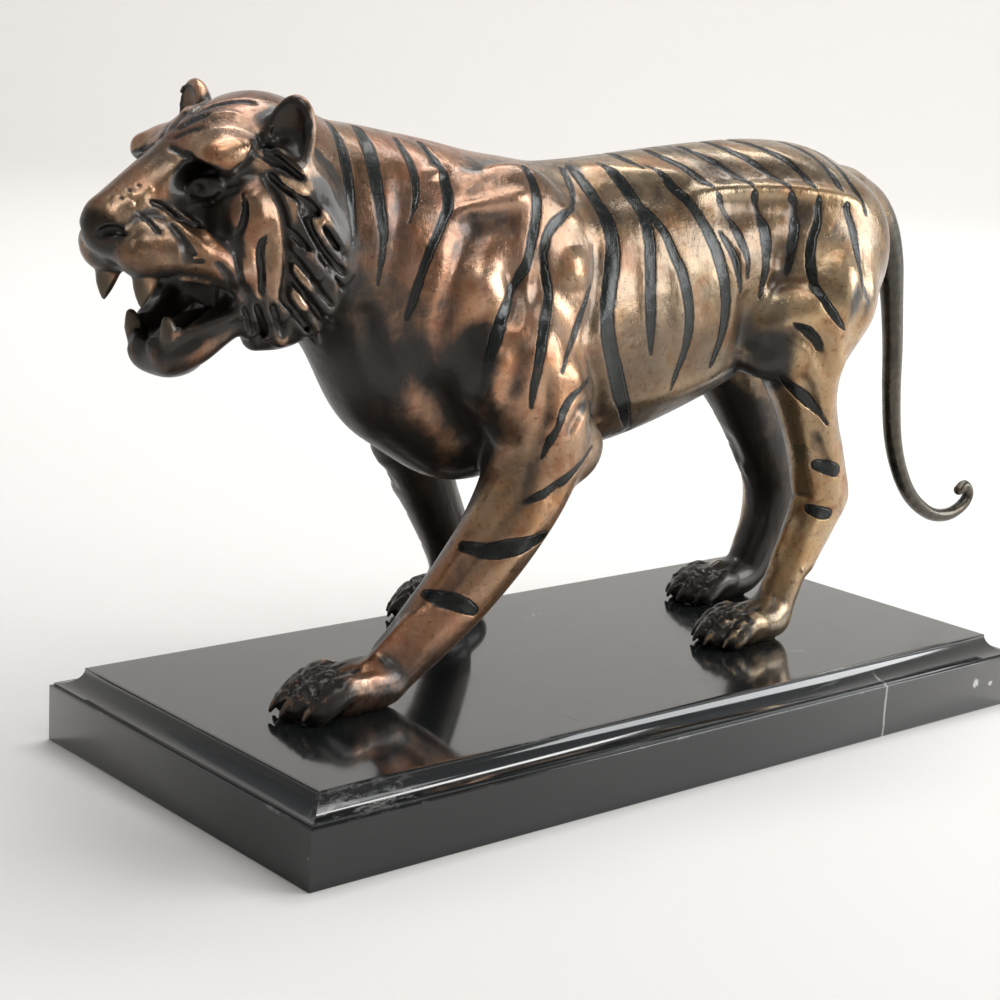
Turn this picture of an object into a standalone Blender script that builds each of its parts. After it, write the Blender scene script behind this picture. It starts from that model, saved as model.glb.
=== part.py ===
"""A walking, snarling tiger cast in bronze, bolted through its paws to a moulded marble plinth."""
import bpy
import bmesh
import numpy as np

# ---- driving dimensions, millimetres ----
PLINTH_LENGTH = 400.0
PLINTH_WIDTH = 183.4
PLINTH_HEIGHT = 31.75
SIDE_HEIGHT = 23.4
MOULDING_INSET = 10.44
FILLET_INSET = 1.3
FILLET_RISE = 0.95
SEAT_GAP = 0.3
BOLT_RADIUS = 2.0
HOLE_RADIUS = 2.3
HOLE_DEPTH_IN_PAW = 9.0
BOLT_REACH_IN_PAW = 8.0
HEAD_RADIUS = 3.9
HEAD_THICKNESS = 3.0
WASHER_RADIUS = 5.0
WASHER_THICKNESS = 1.0
COUNTERBORE_RADIUS = 6.5
COUNTERBORE_DEPTH = 14.0
SKIN_STEP = 2.0
CASTING_TRIANGLES = 9000
# ---- the casting's own frame ----
# The animal stands along -X with its mid-plane at y = 0, in millimetres above the underside of the plinth.
STANCE_YAW = 5.5
STANCE_PIVOT = (100.0, 0.0)

# Centre line points: x, y, z, radius.
SPINE = [(-84, 0, 194, 46), (-62, 0, 185, 54), (-34, 0, 179.5, 61), (0, 0, 182, 61), (35, 0, 189, 58),
         (62, 0, 196, 54), (90, 0, 205, 47), (115, 0, 211, 39), (134, 0, 206, 34)]
RIB_NARROWING = 0.69
NECK = [(-62, 0, 197, 45), (-92, 0, 205.5, 44.5), (-122, 0, 214, 41.5), (-150, 0, 221, 36)]
NECK_NARROWING = 0.84
NEAR_FORE = [(-58, -33, 168, 26), (-44, -37, 142, 22), (-46, -38, 121, 19), (-58, -38, 98, 16.5),
             (-75, -37, 76, 14.5), (-92, -36.5, 59, 12.6), (-104, -37, 49, 11.2)]
FAR_FORE = [(-62, 33, 165, 26), (-60, 37, 138, 19.5), (-53, 39, 118, 15.5), (-41, 43, 96, 13),
            (-27, 49, 74, 11.6), (-17, 55, 56, 10.8), (-18, 57, 46, 10.4)]
NEAR_HIND = [(112, -27, 186, 28), (104, -30, 164, 21), (109, -30, 142, 14.5), (116.5, -30, 121, 12.4),
             (121, -30, 102, 11.4), (122, -30, 94, 10.8), (113, -30, 74, 8.8), (105, -30.5, 55, 8.6),
             (100.5, -31, 46, 9)]
FAR_HIND = [(118, 26, 186, 28), (112, 29, 160, 22), (125, 29, 134, 17.5), (137, 29, 114, 15.5),
            (146, 29, 96, 14), (149, 29.5, 84, 13), (148, 30, 68, 11.8), (143, 30, 55, 10.8), (139, 30, 46, 10)]
TAIL = [(150, 0, 226, 14), (166, 0, 222, 10.5), (177, 0, 212, 8.5), (185, 0, 197, 6.6), (189.5, 0, 177, 5.4),
        (193, 0, 155, 4.9), (195, 0, 135, 4.6), (199, 0, 112, 4.3), (206, 0, 94, 4.0), (216, 0, 80, 3.7),
        (230, 0, 70.5, 3.4), (243, 0, 68.5, 3.2), (253, 0, 72, 3.0), (257.5, 0, 78, 2.9), (254, 0, 82.5, 2.8),
        (250, 0, 80.5, 2.6)]
# Paw centres: x, y, turn in degrees, size.
PAWS = {"near_fore": (-128, -38, -2, 1.02), "far_fore": (-19, 58, 6, 0.96),
        "near_hind": (84, -32, 0, 0.9), "far_hind": (120, 30, 0, 0.9)}
TOE_SPREAD = 3.6
HEAD_AT = (-158.0, 0.0, 232.0)
HEAD_YAW = 12.0
# Root, middle and tip of each lock of the ruff on one cheek, and its half width, in the head's frame.
LOCKS = [((16, 25, 10), (4, 32, 8), (-5, 35, 3), 5.5), ((15, 27, 3), (0, 35, -1), (-13, 37, -9), 6),
         ((13, 27, -4), (-4, 36, -10), (-20, 37.5, -20), 6.5), ((11, 27, -12), (-5, 37, -20), (-22, 37, -33), 6.5),
         ((10, 27, -20), (-3, 37, -31), (-18, 35, -46), 6.5), ((11, 26, -27), (1, 35, -41), (-10, 31, -56), 6.5),
         ((14, 25, -33), (8, 31, -46), (2, 26, -60), 6), ((18, 23, -38), (17, 26, -47), (14, 21, -56), 5)]

F = np.float32


def blend_in(a, b, k):
    """Union of two distance fields with a fillet about k wide."""
    if k <= 0:
        return np.minimum(a, b)
    h = np.maximum(k - np.abs(a - b), 0)
    return np.minimum(a, b) - h * h * F(0.25 / k)


def blend_out(a, b, k):
    return -blend_in(-a, -b, k)


def curve(points, n):
    """A smooth curve through the points, n steps between each two."""
    P = np.asarray(points, float)
    if len(P) < 3:
        t = np.linspace(0, 1, n + 1)[:, None]
        return P[0] * (1 - t) + P[1] * t
    Q = np.vstack([2 * P[0] - P[1], P, 2 * P[-1] - P[-2]])
    out = []
    for i in range(1, len(Q) - 2):
        a, b, c, d = Q[i - 1:i + 3]
        t = np.linspace(0, 1, n, endpoint=False)[:, None]
        out.append(0.5 * (2 * b + (c - a) * t + (2 * a - 5 * b + 4 * c - d) * t * t + (3 * b - a - 3 * c + d) * t ** 3))
    return np.vstack(out + [P[-1:]])


def turned(yaw=0, pitch=0, roll=0):
    """Axes turned: yaw brings the front towards -Y, pitch lifts it, roll tips the sides."""
    y, p, r = np.radians([yaw, pitch, roll])
    Rz = np.array([[np.cos(y), -np.sin(y), 0], [np.sin(y), np.cos(y), 0], [0, 0, 1]])
    Ry = np.array([[np.cos(p), 0, np.sin(p)], [0, 1, 0], [-np.sin(p), 0, np.cos(p)]])
    Rx = np.array([[1, 0, 0], [0, np.cos(r), -np.sin(r)], [0, np.sin(r), np.cos(r)]])
    return Rz @ Ry @ Rx


class Egg:
    """An ellipsoid: centre, three radii, axes."""

    def __init__(s, c, r, yaw=0, pitch=0, roll=0, M=None):
        s.c = np.array(c, float)
        s.r = np.array(r, float) * np.ones(3)
        s.M = turned(yaw, pitch, roll) if M is None else M
        e = np.sqrt(((s.M * s.r) ** 2).sum(1))
        s.lo, s.hi = s.c - e, s.c + e

    def __call__(s, X, Y, Z):
        X, Y, Z = X - F(s.c[0]), Y - F(s.c[1]), Z - F(s.c[2])
        M, r = s.M.astype(F), s.r
        q = [(M[0, i] * X + M[1, i] * Y + M[2, i] * Z) / F(r[i]) for i in range(3)]
        k0 = np.sqrt(q[0] ** 2 + q[1] ** 2 + q[2] ** 2)
        k1 = np.sqrt((q[0] / F(r[0])) ** 2 + (q[1] / F(r[1])) ** 2 + (q[2] / F(r[2])) ** 2)
        return k0 * (k0 - 1) / np.maximum(k1, F(1e-6))


class Limb:
    """A tapering bar of round section along a curve through (x, y, z, radius) points; wide scales its sections."""

    def __init__(s, points, n=4, wide=(1, 1, 1)):
        s.P = curve(points, n)
        s.w = np.array(wide, float)
        R = s.P[:, 3:4] * s.w
        s.lo, s.hi = (s.P[:, :3] - R).min(0), (s.P[:, :3] + R).max(0)

    def __call__(s, X, Y, Z):
        w = s.w
        X, Y, Z = X / F(w[0]), Y / F(w[1]), Z / F(w[2])
        Q = s.P.copy()
        Q[:, :3] /= w
        best = None
        for a, b in zip(Q[:-1], Q[1:]):
            v = b[:3] - a[:3]
            L = max(float(v @ v) ** 0.5, 1e-5)
            v = (v / L).astype(F)
            g = float(np.clip((b[3] - a[3]) / L, -0.97, 0.97))
            m = F(g / (1 - g * g) ** 0.5)
            x, y, z = X - F(a[0]), Y - F(a[1]), Z - F(a[2])
            h = x * v[0] + y * v[1] + z * v[2]
            q = np.maximum(x * x + y * y + z * z - h * h, 0)
            t = np.clip(h + m * np.sqrt(q), 0, F(L))
            d = np.sqrt((h - t) ** 2 + q) - (F(a[3]) + t * F((b[3] - a[3]) / L))
            best = d if best is None else np.minimum(best, d)
        return best * F(min(1.0, w.min() ** 0.5))


HEAD_AXES = turned(HEAD_YAW, 0, 0)


def in_head(a, b, c):
    """A point of the head's frame (forward, towards the far side, up) in the casting's frame."""
    return tuple(np.array(HEAD_AT) + HEAD_AXES @ np.array([-a, b, c], float))


def head_egg(c, r, yaw=0, pitch=0, roll=0):
    return Egg(in_head(*c), r, M=HEAD_AXES @ turned(yaw, pitch, roll))


def head_limb(points, n=5):
    return Limb([in_head(*p[:3]) + (p[3],) for p in points], n=n)


def lock_leaf(a, b, w, t, s):
    """A flat leaf of hair from a to b, half w wide and half t thick, lying on cheek s."""
    d = b - a
    L = np.linalg.norm(d)
    d = d / L
    out = np.array([0.35, s * 1.0, 0.0])
    out -= (out @ d) * d
    out /= np.linalg.norm(out)
    side = np.cross(d, out)
    M = np.stack([HEAD_AXES @ np.array([-v[0], v[1], v[2]]) for v in (d, out, side)], 1)
    return Egg(in_head(*((a + b) / 2)), (L * 0.62, t, w), M=M)


def body_forms():
    o = []

    def add(f, k):
        o.append(("add", f, k))

    add(Limb(SPINE, n=10, wide=(1, RIB_NARROWING, 1)), 0)
    for s in (-1, 1):
        add(Egg((104.5, s * 15, 217), (46, 21, 28), pitch=5), 12)
        add(Egg((116, s * 17.5, 206), (34, 19, 29.5), pitch=10), 12)
    add(Limb(NECK, n=10, wide=(1, NECK_NARROWING, 1)), 14)
    add(Egg((-84, 0, 164), (36, 30, 40), pitch=-20), 14)
    add(Egg((-58, 0, 140), (32, 25, 29)), 12)
    for s in (-1, 1):
        add(Egg((-52, s * 27, 205), (30, 15, 38), pitch=-15), 10)
        add(Egg((-80, s * 27, 184), (22, 15, 26), pitch=-20), 8)
        add(Egg((-32, s * 30, 172), (24, 14, 34), pitch=12), 10)
    add(Limb(NEAR_FORE, n=10), 8)
    add(Egg((-25, -40, 128), (11.5, 8.5, 14), pitch=35), 7)
    add(Limb(FAR_FORE, n=10), 8)
    add(Egg((-38, 42, 130), (11, 9, 14), pitch=-25), 7)
    add(Egg((120.5, -24, 196), (30, 18.5, 39), pitch=28), 12)
    add(Egg((124.5, 24, 196), (30, 18.5, 39), pitch=28), 12)
    add(Limb(NEAR_HIND, n=10), 8)
    add(Egg((86, -31, 172), (17, 13, 22), pitch=35), 8)
    add(Egg((131, -30, 95), (8, 6.5, 9), pitch=-25), 5)
    add(Limb([(121, -30, 116, 9), (128, -30.5, 102, 7.8), (126.5, -30.5, 85, 6.8), (116, -30.5, 66, 6)], n=6), 6)
    add(Limb(FAR_HIND, n=10), 8)
    add(Egg((94, 30, 168), (17, 13, 22), pitch=35), 8)
    add(Egg((154, 29, 98), (8, 7, 9)), 5)
    add(Limb([(143, 29, 116, 10), (151, 29, 102, 8), (152, 29.5, 84, 7.6), (148, 30, 68, 7)], n=6), 6)
    add(Limb(TAIL, n=4), 8)
    return o


def paw_forms(cx, cy, angle, size):
    o = []
    M = turned(angle)

    def at(a, b, c, *r):
        v = M @ np.array([-a, b, 0.0]) * size
        return (cx + v[0], cy + v[1], PLINTH_HEIGHT + c * size) + tuple(q * size for q in r)

    o.append(("add", Egg(at(-2, 0, 9.5), np.array((19, 12.5, 10)) * size, M=M @ turned(pitch=-13)), 4))
    o.append(("add", Egg(at(-14, 0, 9), np.array((11, 10, 9)) * size, M=M), 5))
    for i in range(4):
        b = (i - 1.5) * 2 * TOE_SPREAD * (1.0 if i in (1, 2) else 0.95)
        a = 14.5 if i in (1, 2) else 9
        o.append(("add", Limb([at(a - 10, b * 0.85, 11.5, 5.2), at(a - 2, b, 12, 5.6), at(a + 4, b * 1.08, 8.6, 5.5),
                               at(a + 8, b * 1.12, 5.4, 4.9)], n=5), 1.4))
        o.append(("add", Limb([at(a + 10, b * 1.12, 7.6, 2.0), at(a + 13.5, b * 1.13, 5.6, 1.5),
                               at(a + 15.5, b * 1.14, 2.6, 0.8)], n=3), 0.8))
    return o


def head_forms():
    o = []

    def add(f, k=3):
        o.append(("add", f, k))

    def cut(f, k=2):
        o.append(("cut", f, k))

    # skull, bridge, muzzle
    add(head_egg((-3, 0, 8), (29, 29, 26)), 8)
    add(head_egg((20, 0, 11), (20, 21, 15), pitch=-32), 8)
    add(head_egg((10, 0, -12), (24, 26, 24)), 8)
    add(head_limb([(26, 0, 5, 14.5), (40, 0, -0.5, 12.3), (52, 0, -6.5, 10.6), (62, 0, -11.5, 9.2)]), 6)
    add(head_egg((43, 0, -19), (26, 16, 11)), 6)
    for s in (-1, 1):
        # whisker pad, lip, cheekbone, cheek, brow
        add(head_egg((52.5, s * 10.3, -21.5), (13, 10.5, 11), pitch=-6), 3)
        add(head_limb([(46, s * 17, -21, 9), (36, s * 21, -23.5, 8), (27, s * 24, -29, 6)]), 4)
        add(head_egg((14.5, s * 22.5, -7), (16, 11.5, 14), pitch=-20), 7)
        add(head_egg((10, s * 22, -22), (18, 12, 20)), 6)
        add(head_limb([(36, s * 6, 8, 4.5), (30, s * 12.5, 12, 5.4), (22, s * 19, 13, 6.6), (13, s * 24.2, 10, 5.6)]), 3)
        add(head_egg((25.4, s * 16.6, 11.4), (12.5, 9.6, 8.0), pitch=-17, yaw=s * -14), 3)
    # nose and its pad
    add(head_egg((62.5, 0, -13.5), (9, 9.5, 8.5), pitch=-15), 3)
    add(head_egg((64.6, 0, -15.6), (7.4, 9.8, 9.6), pitch=-20), 0.6)
    # lower jaw
    for s in (-1, 1):
        add(head_limb([(0, s * 18, -36, 8), (12, s * 17.5, -43, 7.2), (24, s * 15.5, -50.5, 7), (33, s * 11.5, -57.5, 7.6),
                       (39, s * 6, -61, 7.6)]), 5)
    add(head_egg((32.5, 0, -61), (13, 12, 9.6), pitch=-8), 4)
    add(head_egg((4, 0, -38), (18, 19, 11)), 6)
    # open mouth, rolled lip, canines, tongue
    cut(head_egg((42, 0, -42), (30, 15, 8.5), pitch=-16), 3)
    cut(head_egg((30, 0, -46), (17, 11, 9), pitch=-24), 3)
    for s in (-1, 1):
        add(head_limb([(44, s * 19, -31, 1.6), (36, s * 22, -32, 1.7), (27, s * 24, -34, 1.7), (21.5, s * 24.5, -40, 1.7),
                       (24, s * 23, -45.5, 1.7), (33, s * 18, -49.5, 1.7), (41, s * 11.5, -53.5, 1.8), (45.5, s * 4, -56.5, 1.8)],
                      n=8), 2.5)
        add(head_limb([(53.5, s * 10.8, -28, 5.4), (55, s * 11, -35.5, 3.5), (55.8, s * 11, -41.6, 0.8)], n=3), 1.0)
        add(head_limb([(41.5, s * 10.2, -57, 3.8), (42.8, s * 10.4, -51.5, 3.2), (43.8, s * 10.6, -48.0, 1.9)], n=3), 1.0)
    add(head_egg((28, 0, -53), (15, 8, 4.5), pitch=-22), 2)
    # eye sockets, sunk eyes between their lids, nostrils
    for s in (-1, 1):
        cut(head_egg((40, s * 19.5, 2.4), (18, 8.2, 6.6), pitch=-12, yaw=s * -28), 2.5)
        add(head_egg((28.6, s * 16.6, 0.8), (5.4, 5.2, 4.4)), 0.5)
        add(head_limb([(36.5, s * 11.2, -0.4, 0.9), (34.6, s * 14.6, 2.2, 1.3), (31.4, s * 18.6, 2.6, 1.4), (26.8, s * 22.2, 0.6, 0.8)]), 0.6)
        add(head_limb([(36.5, s * 11.2, -1.2, 0.8), (34.6, s * 14.8, -2.2, 1.2), (31.2, s * 18.8, -1.8, 1.3), (26.8, s * 22.4, -0.4, 0.8)]), 0.6)
        cut(head_limb([(72.0, s * 5.0, -17.5, 0.8), (69.0, s * 6.8, -15.2, 1.9), (65.5, s * 9.4, -14.6, 1.7), (62.0, s * 10.8, -16.6, 0.7)]), 0.5)
    cut(head_limb([(73.5, 0, -18, 0.5), (70.5, 0, -25, 0.9), (65, 0, -31, 0.8)]), 0.8)
    # ears
    for s, yaw, at, size, dish, hollow in ((-1, 34, (3.2, -27.0, 17.0), (6, 9.8, 17.6), (7.8, -30.2, 18.0), (5.6, 7.6, 15.2)),
                                           (1, -20, (2, 27.5, 21.5), (6, 12, 15.5), (6.8, 28.8, 22.5), (5.6, 9.2, 12.8))):
        add(head_egg(at, size, yaw=yaw, roll=s * -12), 3)
        cut(head_egg(dish, hollow, yaw=yaw, roll=s * -12), 1.2)
    # ruff: a dished mass behind the cheeks, thickest along its edge, with broad locks laid over it
    add(head_egg((-7, 0, -21), (13, 35, 35), pitch=8), 5)
    for s in (-1, 1):
        add(head_limb([(3, s * 27, 12, 6), (-6, s * 29.5, 2, 7.5), (-12.5, s * 30.5, -10, 8.6), (-16, s * 30, -22, 9.2), (-15.5, s * 28.5, -34, 9),
                       (-9.5, s * 26, -45.5, 8.2), (-0.5, s * 22, -52.5, 6.8), (9, s * 19, -54.5, 5.6)]), 4)
        add(head_egg((2, s * 24, -28), (13, 11, 22), pitch=12), 5)
        for p, q, r, w in LOCKS:
            p, q, r = (np.array((v[0], s * v[1], v[2]), float) for v in (p, q, r))
            add(lock_leaf(p, q, w, 2.6, s), 3)
            add(lock_leaf(q - (q - p) * 0.3, q + (r - q) * 0.72, w * 0.82, 2.2, s), 3)
    return o


def casting_forms():
    o = body_forms()
    for paw in PAWS.values():
        o += paw_forms(*paw)
    return o + head_forms()


def to_stand(P):
    """Points of the casting's frame set on the plinth, which is centred on the origin."""
    y = np.radians(STANCE_YAW)
    Q = np.array([[np.cos(y), np.sin(y), 0], [-np.sin(y), np.cos(y), 0], [0, 0, 1]])
    pivot = np.array(STANCE_PIVOT + (0.0,))
    return (np.asarray(P, float) - pivot) @ Q.T + pivot


# ---- from distance field to closed skin ----
CORNERS = [(i, j, k) for i in (0, 1) for j in (0, 1) for k in (0, 1)]
EDGES = [(a, b) for a in range(8) for b in range(a + 1, 8)
         if sum(abs(p - q) for p, q in zip(CORNERS[a], CORNERS[b])) == 1]


def one_piece(members):
    """Whether these corners of a cell hang together along its edges."""
    members = set(members)
    if not members:
        return True
    seen, todo = set(), [min(members)]
    while todo:
        c = todo.pop()
        if c in seen:
            continue
        seen.add(c)
        todo += [b if a == c else a for a, b in EDGES if c in (a, b) and (b if a == c else a) in members]
    return seen == members


SPLIT_CELL = np.array([not (one_piece(c for c in range(8) if code >> c & 1)
                            and one_piece(c for c in range(8) if not code >> c & 1)) for code in range(256)])


def sample(forms, lo, hi, step, pad=6.0):
    """The field on a grid, each form worked out only near itself."""
    lo = np.asarray(lo, float)
    n = np.ceil((np.asarray(hi) - lo) / step).astype(int) + 1
    axes = [(lo[i] + step * np.arange(n[i])).astype(F) for i in range(3)]
    D = np.full(n, 60.0, F)
    for kind, form, k in forms:
        i0 = np.maximum(np.floor((form.lo - pad - k - lo) / step).astype(int), 0)
        i1 = np.minimum(np.ceil((form.hi + pad + k - lo) / step).astype(int) + 1, n)
        if (i1 <= i0).any():
            continue
        box = tuple(slice(a, b) for a, b in zip(i0, i1))
        v = form(axes[0][box[0]][:, None, None], axes[1][box[1]][None, :, None], axes[2][box[2]][None, None, :])
        D[box] = blend_in(D[box], v, k) if kind == "add" else blend_out(D[box], -v, k)
    return axes, D


def spread(seed, room):
    """Every cell of room that hangs together with the seed, through faces."""
    while True:
        grown = seed.copy()
        for axis in range(3):
            for way in (1, -1):
                src = [slice(None)] * 3
                dst = [slice(None)] * 3
                src[axis], dst[axis] = (slice(0, -1), slice(1, None)) if way == 1 else (slice(1, None), slice(0, -1))
                grown[tuple(dst)] |= seed[tuple(src)]
        grown &= room
        if (grown == seed).all():
            return seed
        seed = grown


def cell_codes(inside):
    n = inside.shape
    code = np.zeros([m - 1 for m in n], np.int32)
    for bit, (i, j, k) in enumerate(CORNERS):
        code |= inside[i:n[0] - 1 + i, j:n[1] - 1 + j, k:n[2] - 1 + k].astype(np.int32) << bit
    return code


def made_sound(D, step):
    """The field with no sealed hollow, no loose crumb and no cell whose skin would touch itself."""
    tiny = F(0.05 * step)
    for _ in range(30):
        inside = D < 0
        open_air = spread(D > 6, ~inside)
        D[~inside & ~open_air] = -tiny
        inside = D < 0
        solid = spread(D < -8, inside)
        D[inside & ~solid] = tiny
        inside = D < 0
        split = np.argwhere(SPLIT_CELL[cell_codes(inside)])
        if not len(split):
            return D
        for i, j, k in CORNERS:
            at = tuple((split + (i, j, k)).T)
            D[at] = np.minimum(D[at], -tiny)
    return D


def skin(axes, D, step):
    """Points and outward quads of the zero surface: one point in each cell that the surface crosses."""
    inside = D < 0
    code = cell_codes(inside)
    crossed = (code > 0) & (code < 255)
    number = np.full(code.shape, -1, np.int64)
    cells = np.argwhere(crossed)
    number[crossed] = np.arange(len(cells))
    total = np.zeros((len(cells), 3))
    count = np.zeros(len(cells))
    for a, b in EDGES:
        ca, cb = np.array(CORNERS[a]), np.array(CORNERS[b])
        va = D[tuple((cells + ca).T)].astype(float)
        vb = D[tuple((cells + cb).T)].astype(float)
        over = (va < 0) != (vb < 0)
        t = va[over] / (va[over] - vb[over])
        total[over] += ca + (cb - ca) * t[:, None]
        count[over] += 1
    points = np.array([ax[0] for ax in axes]) + step * (cells + total / count[:, None])
    quads = []
    for axis in range(3):
        u, v = (axis + 1) % 3, (axis + 2) % 3
        head = [slice(None)] * 3
        tail = [slice(None)] * 3
        head[axis], tail[axis] = slice(0, -1), slice(1, None)
        a, b = inside[tuple(head)], inside[tuple(tail)]
        for there, turn in ((a & ~b, False), (~a & b, True)):
            e = np.argwhere(there)
            e = e[(e[:, u] > 0) & (e[:, v] > 0)]
            corner = []
            for du, dv in ((-1, -1), (0, -1), (0, 0), (-1, 0)):
                c = e.copy()
                c[:, u] += du
                c[:, v] += dv
                corner.append(number[tuple(c.T)])
            q = np.stack(corner, 1)
            quads.append(q[:, ::-1] if turn else q)
    return points, np.vstack(quads)


# ---- the object ----
for existing in list(bpy.data.objects):
    bpy.data.objects.remove(existing, do_unlink=True)


def material(name, colour, roughness, metallic):
    m = bpy.data.materials.new(name)
    m.use_nodes = True
    b = m.node_tree.nodes["Principled BSDF"]
    b.inputs["Base Color"].default_value = colour + (1.0,)
    b.inputs["Roughness"].default_value = roughness
    b.inputs["Metallic"].default_value = metallic
    return m


def placed(name, mesh, finish=None):
    obj = bpy.data.objects.new(name, mesh)
    bpy.context.scene.collection.objects.link(obj)
    if finish:
        mesh.materials.append(finish)
    return obj


def mesh_of(name, points_mm, faces):
    mesh = bpy.data.meshes.new(name)
    mesh.from_pydata([tuple(p) for p in np.asarray(points_mm) * 0.001], [], [tuple(f) for f in np.asarray(faces).tolist()])
    mesh.validate()
    mesh.update()
    return mesh


def lathe(name, profile, centre, finish=None, sides=32):
    """A body of revolution about a vertical axis through (radius, z) points that start and end on the axis or close on themselves."""
    closed = profile[0][0] > 0
    rings = []
    points, faces = [], []
    for r, z in profile:
        if r <= 0:
            rings.append([len(points)])
            points.append((centre[0], centre[1], z))
        else:
            rings.append(list(range(len(points), len(points) + sides)))
            for i in range(sides):
                t = 2 * np.pi * i / sides
                points.append((centre[0] + r * np.cos(t), centre[1] + r * np.sin(t), z))
    pairs = list(zip(rings[:-1], rings[1:])) + ([(rings[-1], rings[0])] if closed else [])
    for low, high in pairs:
        for i in range(sides):
            j = (i + 1) % sides
            ring = [low[i % len(low)], low[j % len(low)], high[j % len(high)], high[i % len(high)]]
            face = [v for n, v in enumerate(ring) if v not in ring[:n]]
            faces.append(face)
    mesh = bpy.data.meshes.new(name)
    mesh.from_pydata([tuple(np.array(p) * 0.001) for p in points], [], faces)
    solid = bmesh.new()
    solid.from_mesh(mesh)
    bmesh.ops.recalc_face_normals(solid, faces=solid.faces)
    solid.to_mesh(mesh)
    solid.free()
    mesh.shade_smooth()
    mesh.set_sharp_from_angle(angle=np.radians(35))
    return placed(name, mesh, finish)


def as_cutter(obj):
    obj.hide_render = True
    obj.display_type = "WIRE"
    return obj


def carve(obj, cutter):
    m = obj.modifiers.new("carve_" + cutter.name, "BOOLEAN")
    m.operation = "DIFFERENCE"
    m.solver = "EXACT"
    m.object = cutter


BRONZE = material("bronze", (0.20, 0.105, 0.048), 0.36, 1.0)
MARBLE = material("black_marble", (0.012, 0.014, 0.014), 0.12, 0.0)
STEEL = material("zinc_steel", (0.56, 0.57, 0.58), 0.38, 1.0)

bolt_places = {name: to_stand([(cx + (4 if name.endswith("fore") else 2), cy, 0)])[0][:2] for name, (cx, cy, _, _) in PAWS.items()}

# the casting: one bronze body, flat under the paws, with a blind hole up into each
forms = casting_forms()
low = np.min([f.lo for k, f, _ in forms if k == "add"], axis=0) - 6
high = np.max([f.hi for k, f, _ in forms if k == "add"], axis=0) + 6
axes, field = sample(forms, low, high, SKIN_STEP)
points, quads = skin(axes, made_sound(field, SKIN_STEP), SKIN_STEP)
casting = placed("tiger_casting", mesh_of("tiger_casting", to_stand(points), quads), BRONZE)
casting.data.shade_smooth()
thin = casting.modifiers.new("facets", "DECIMATE")
thin.ratio = CASTING_TRIANGLES / (2 * len(quads))
sole = placed("sole_cutter", mesh_of("sole_cutter", [(x, y, z) for x in (-230, 290) for y in (-120, 120) for z in (-20, PLINTH_HEIGHT + SEAT_GAP)],
                                     [(0, 1, 3, 2), (4, 6, 7, 5), (0, 4, 5, 1), (2, 3, 7, 6), (0, 2, 6, 4), (1, 5, 7, 3)]))
carve(casting, as_cutter(sole))
for name, at in bolt_places.items():
    top = PLINTH_HEIGHT + SEAT_GAP + HOLE_DEPTH_IN_PAW
    carve(casting, as_cutter(lathe("hole_" + name, [(0, 10), (HOLE_RADIUS, 10), (HOLE_RADIUS, top), (0, top)], at, sides=24)))

# the plinth: a slab whose upper edge is worked to a cove above a small fillet
cove_top = PLINTH_HEIGHT
cove_foot = SIDE_HEIGHT + FILLET_RISE
profile = [(0.0, 0.0), (0.0, SIDE_HEIGHT), (FILLET_INSET, SIDE_HEIGHT)]
for i in range(9):
    t = np.pi / 2 * (1 - i / 8)
    profile.append((MOULDING_INSET - (MOULDING_INSET - FILLET_INSET) * (1 - np.cos(t)),
                    cove_top - (cove_top - cove_foot) * np.sin(t)))
ring_points, ring_faces = [], []
for inset, z in profile:
    hx, hy = PLINTH_LENGTH / 2 - inset, PLINTH_WIDTH / 2 - inset
    ring_points += [(-hx, -hy, z), (hx, -hy, z), (hx, hy, z), (-hx, hy, z)]
for r in range(len(profile) - 1):
    for i in range(4):
        j = (i + 1) % 4
        ring_faces.append((4 * r + i, 4 * r + j, 4 * r + 4 + j, 4 * r + 4 + i))
last = 4 * (len(profile) - 1)
ring_faces += [(3, 2, 1, 0), (last, last + 1, last + 2, last + 3)]
plinth = placed("marble_plinth", mesh_of("marble_plinth", ring_points, ring_faces), MARBLE)
for name, at in bolt_places.items():
    carve(plinth, as_cutter(lathe("bore_" + name, [(0, -5), (COUNTERBORE_RADIUS, -5), (COUNTERBORE_RADIUS, COUNTERBORE_DEPTH),
                                                   (HOLE_RADIUS, COUNTERBORE_DEPTH), (HOLE_RADIUS, PLINTH_HEIGHT + 5), (0, PLINTH_HEIGHT + 5)],
                                  at, sides=32)))

# the fixings: a washer and a round-headed bolt up through the slab into each paw
for name, at in bolt_places.items():
    seat = COUNTERBORE_DEPTH - SEAT_GAP
    lathe("washer_" + name, [(HOLE_RADIUS, seat - WASHER_THICKNESS), (WASHER_RADIUS, seat - WASHER_THICKNESS),
                             (WASHER_RADIUS, seat), (HOLE_RADIUS, seat)], at, STEEL, sides=32)
    under = seat - WASHER_THICKNESS - SEAT_GAP
    tip = PLINTH_HEIGHT + SEAT_GAP + BOLT_REACH_IN_PAW
    lathe("bolt_" + name, [(0, under - HEAD_THICKNESS), (HEAD_RADIUS - 0.6, under - HEAD_THICKNESS), (HEAD_RADIUS, under - HEAD_THICKNESS + 0.6),
                           (HEAD_RADIUS, under), (BOLT_RADIUS, under), (BOLT_RADIUS, tip - 0.6), (BOLT_RADIUS - 0.6, tip), (0, tip)],
          at, STEEL, sides=24)
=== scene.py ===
"""The tiger figurine as it looks: a striped, patinated bronze cast on a polished black marble plinth."""

import bpy
import bmesh
import numpy as np
from mathutils import Matrix, Vector


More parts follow.
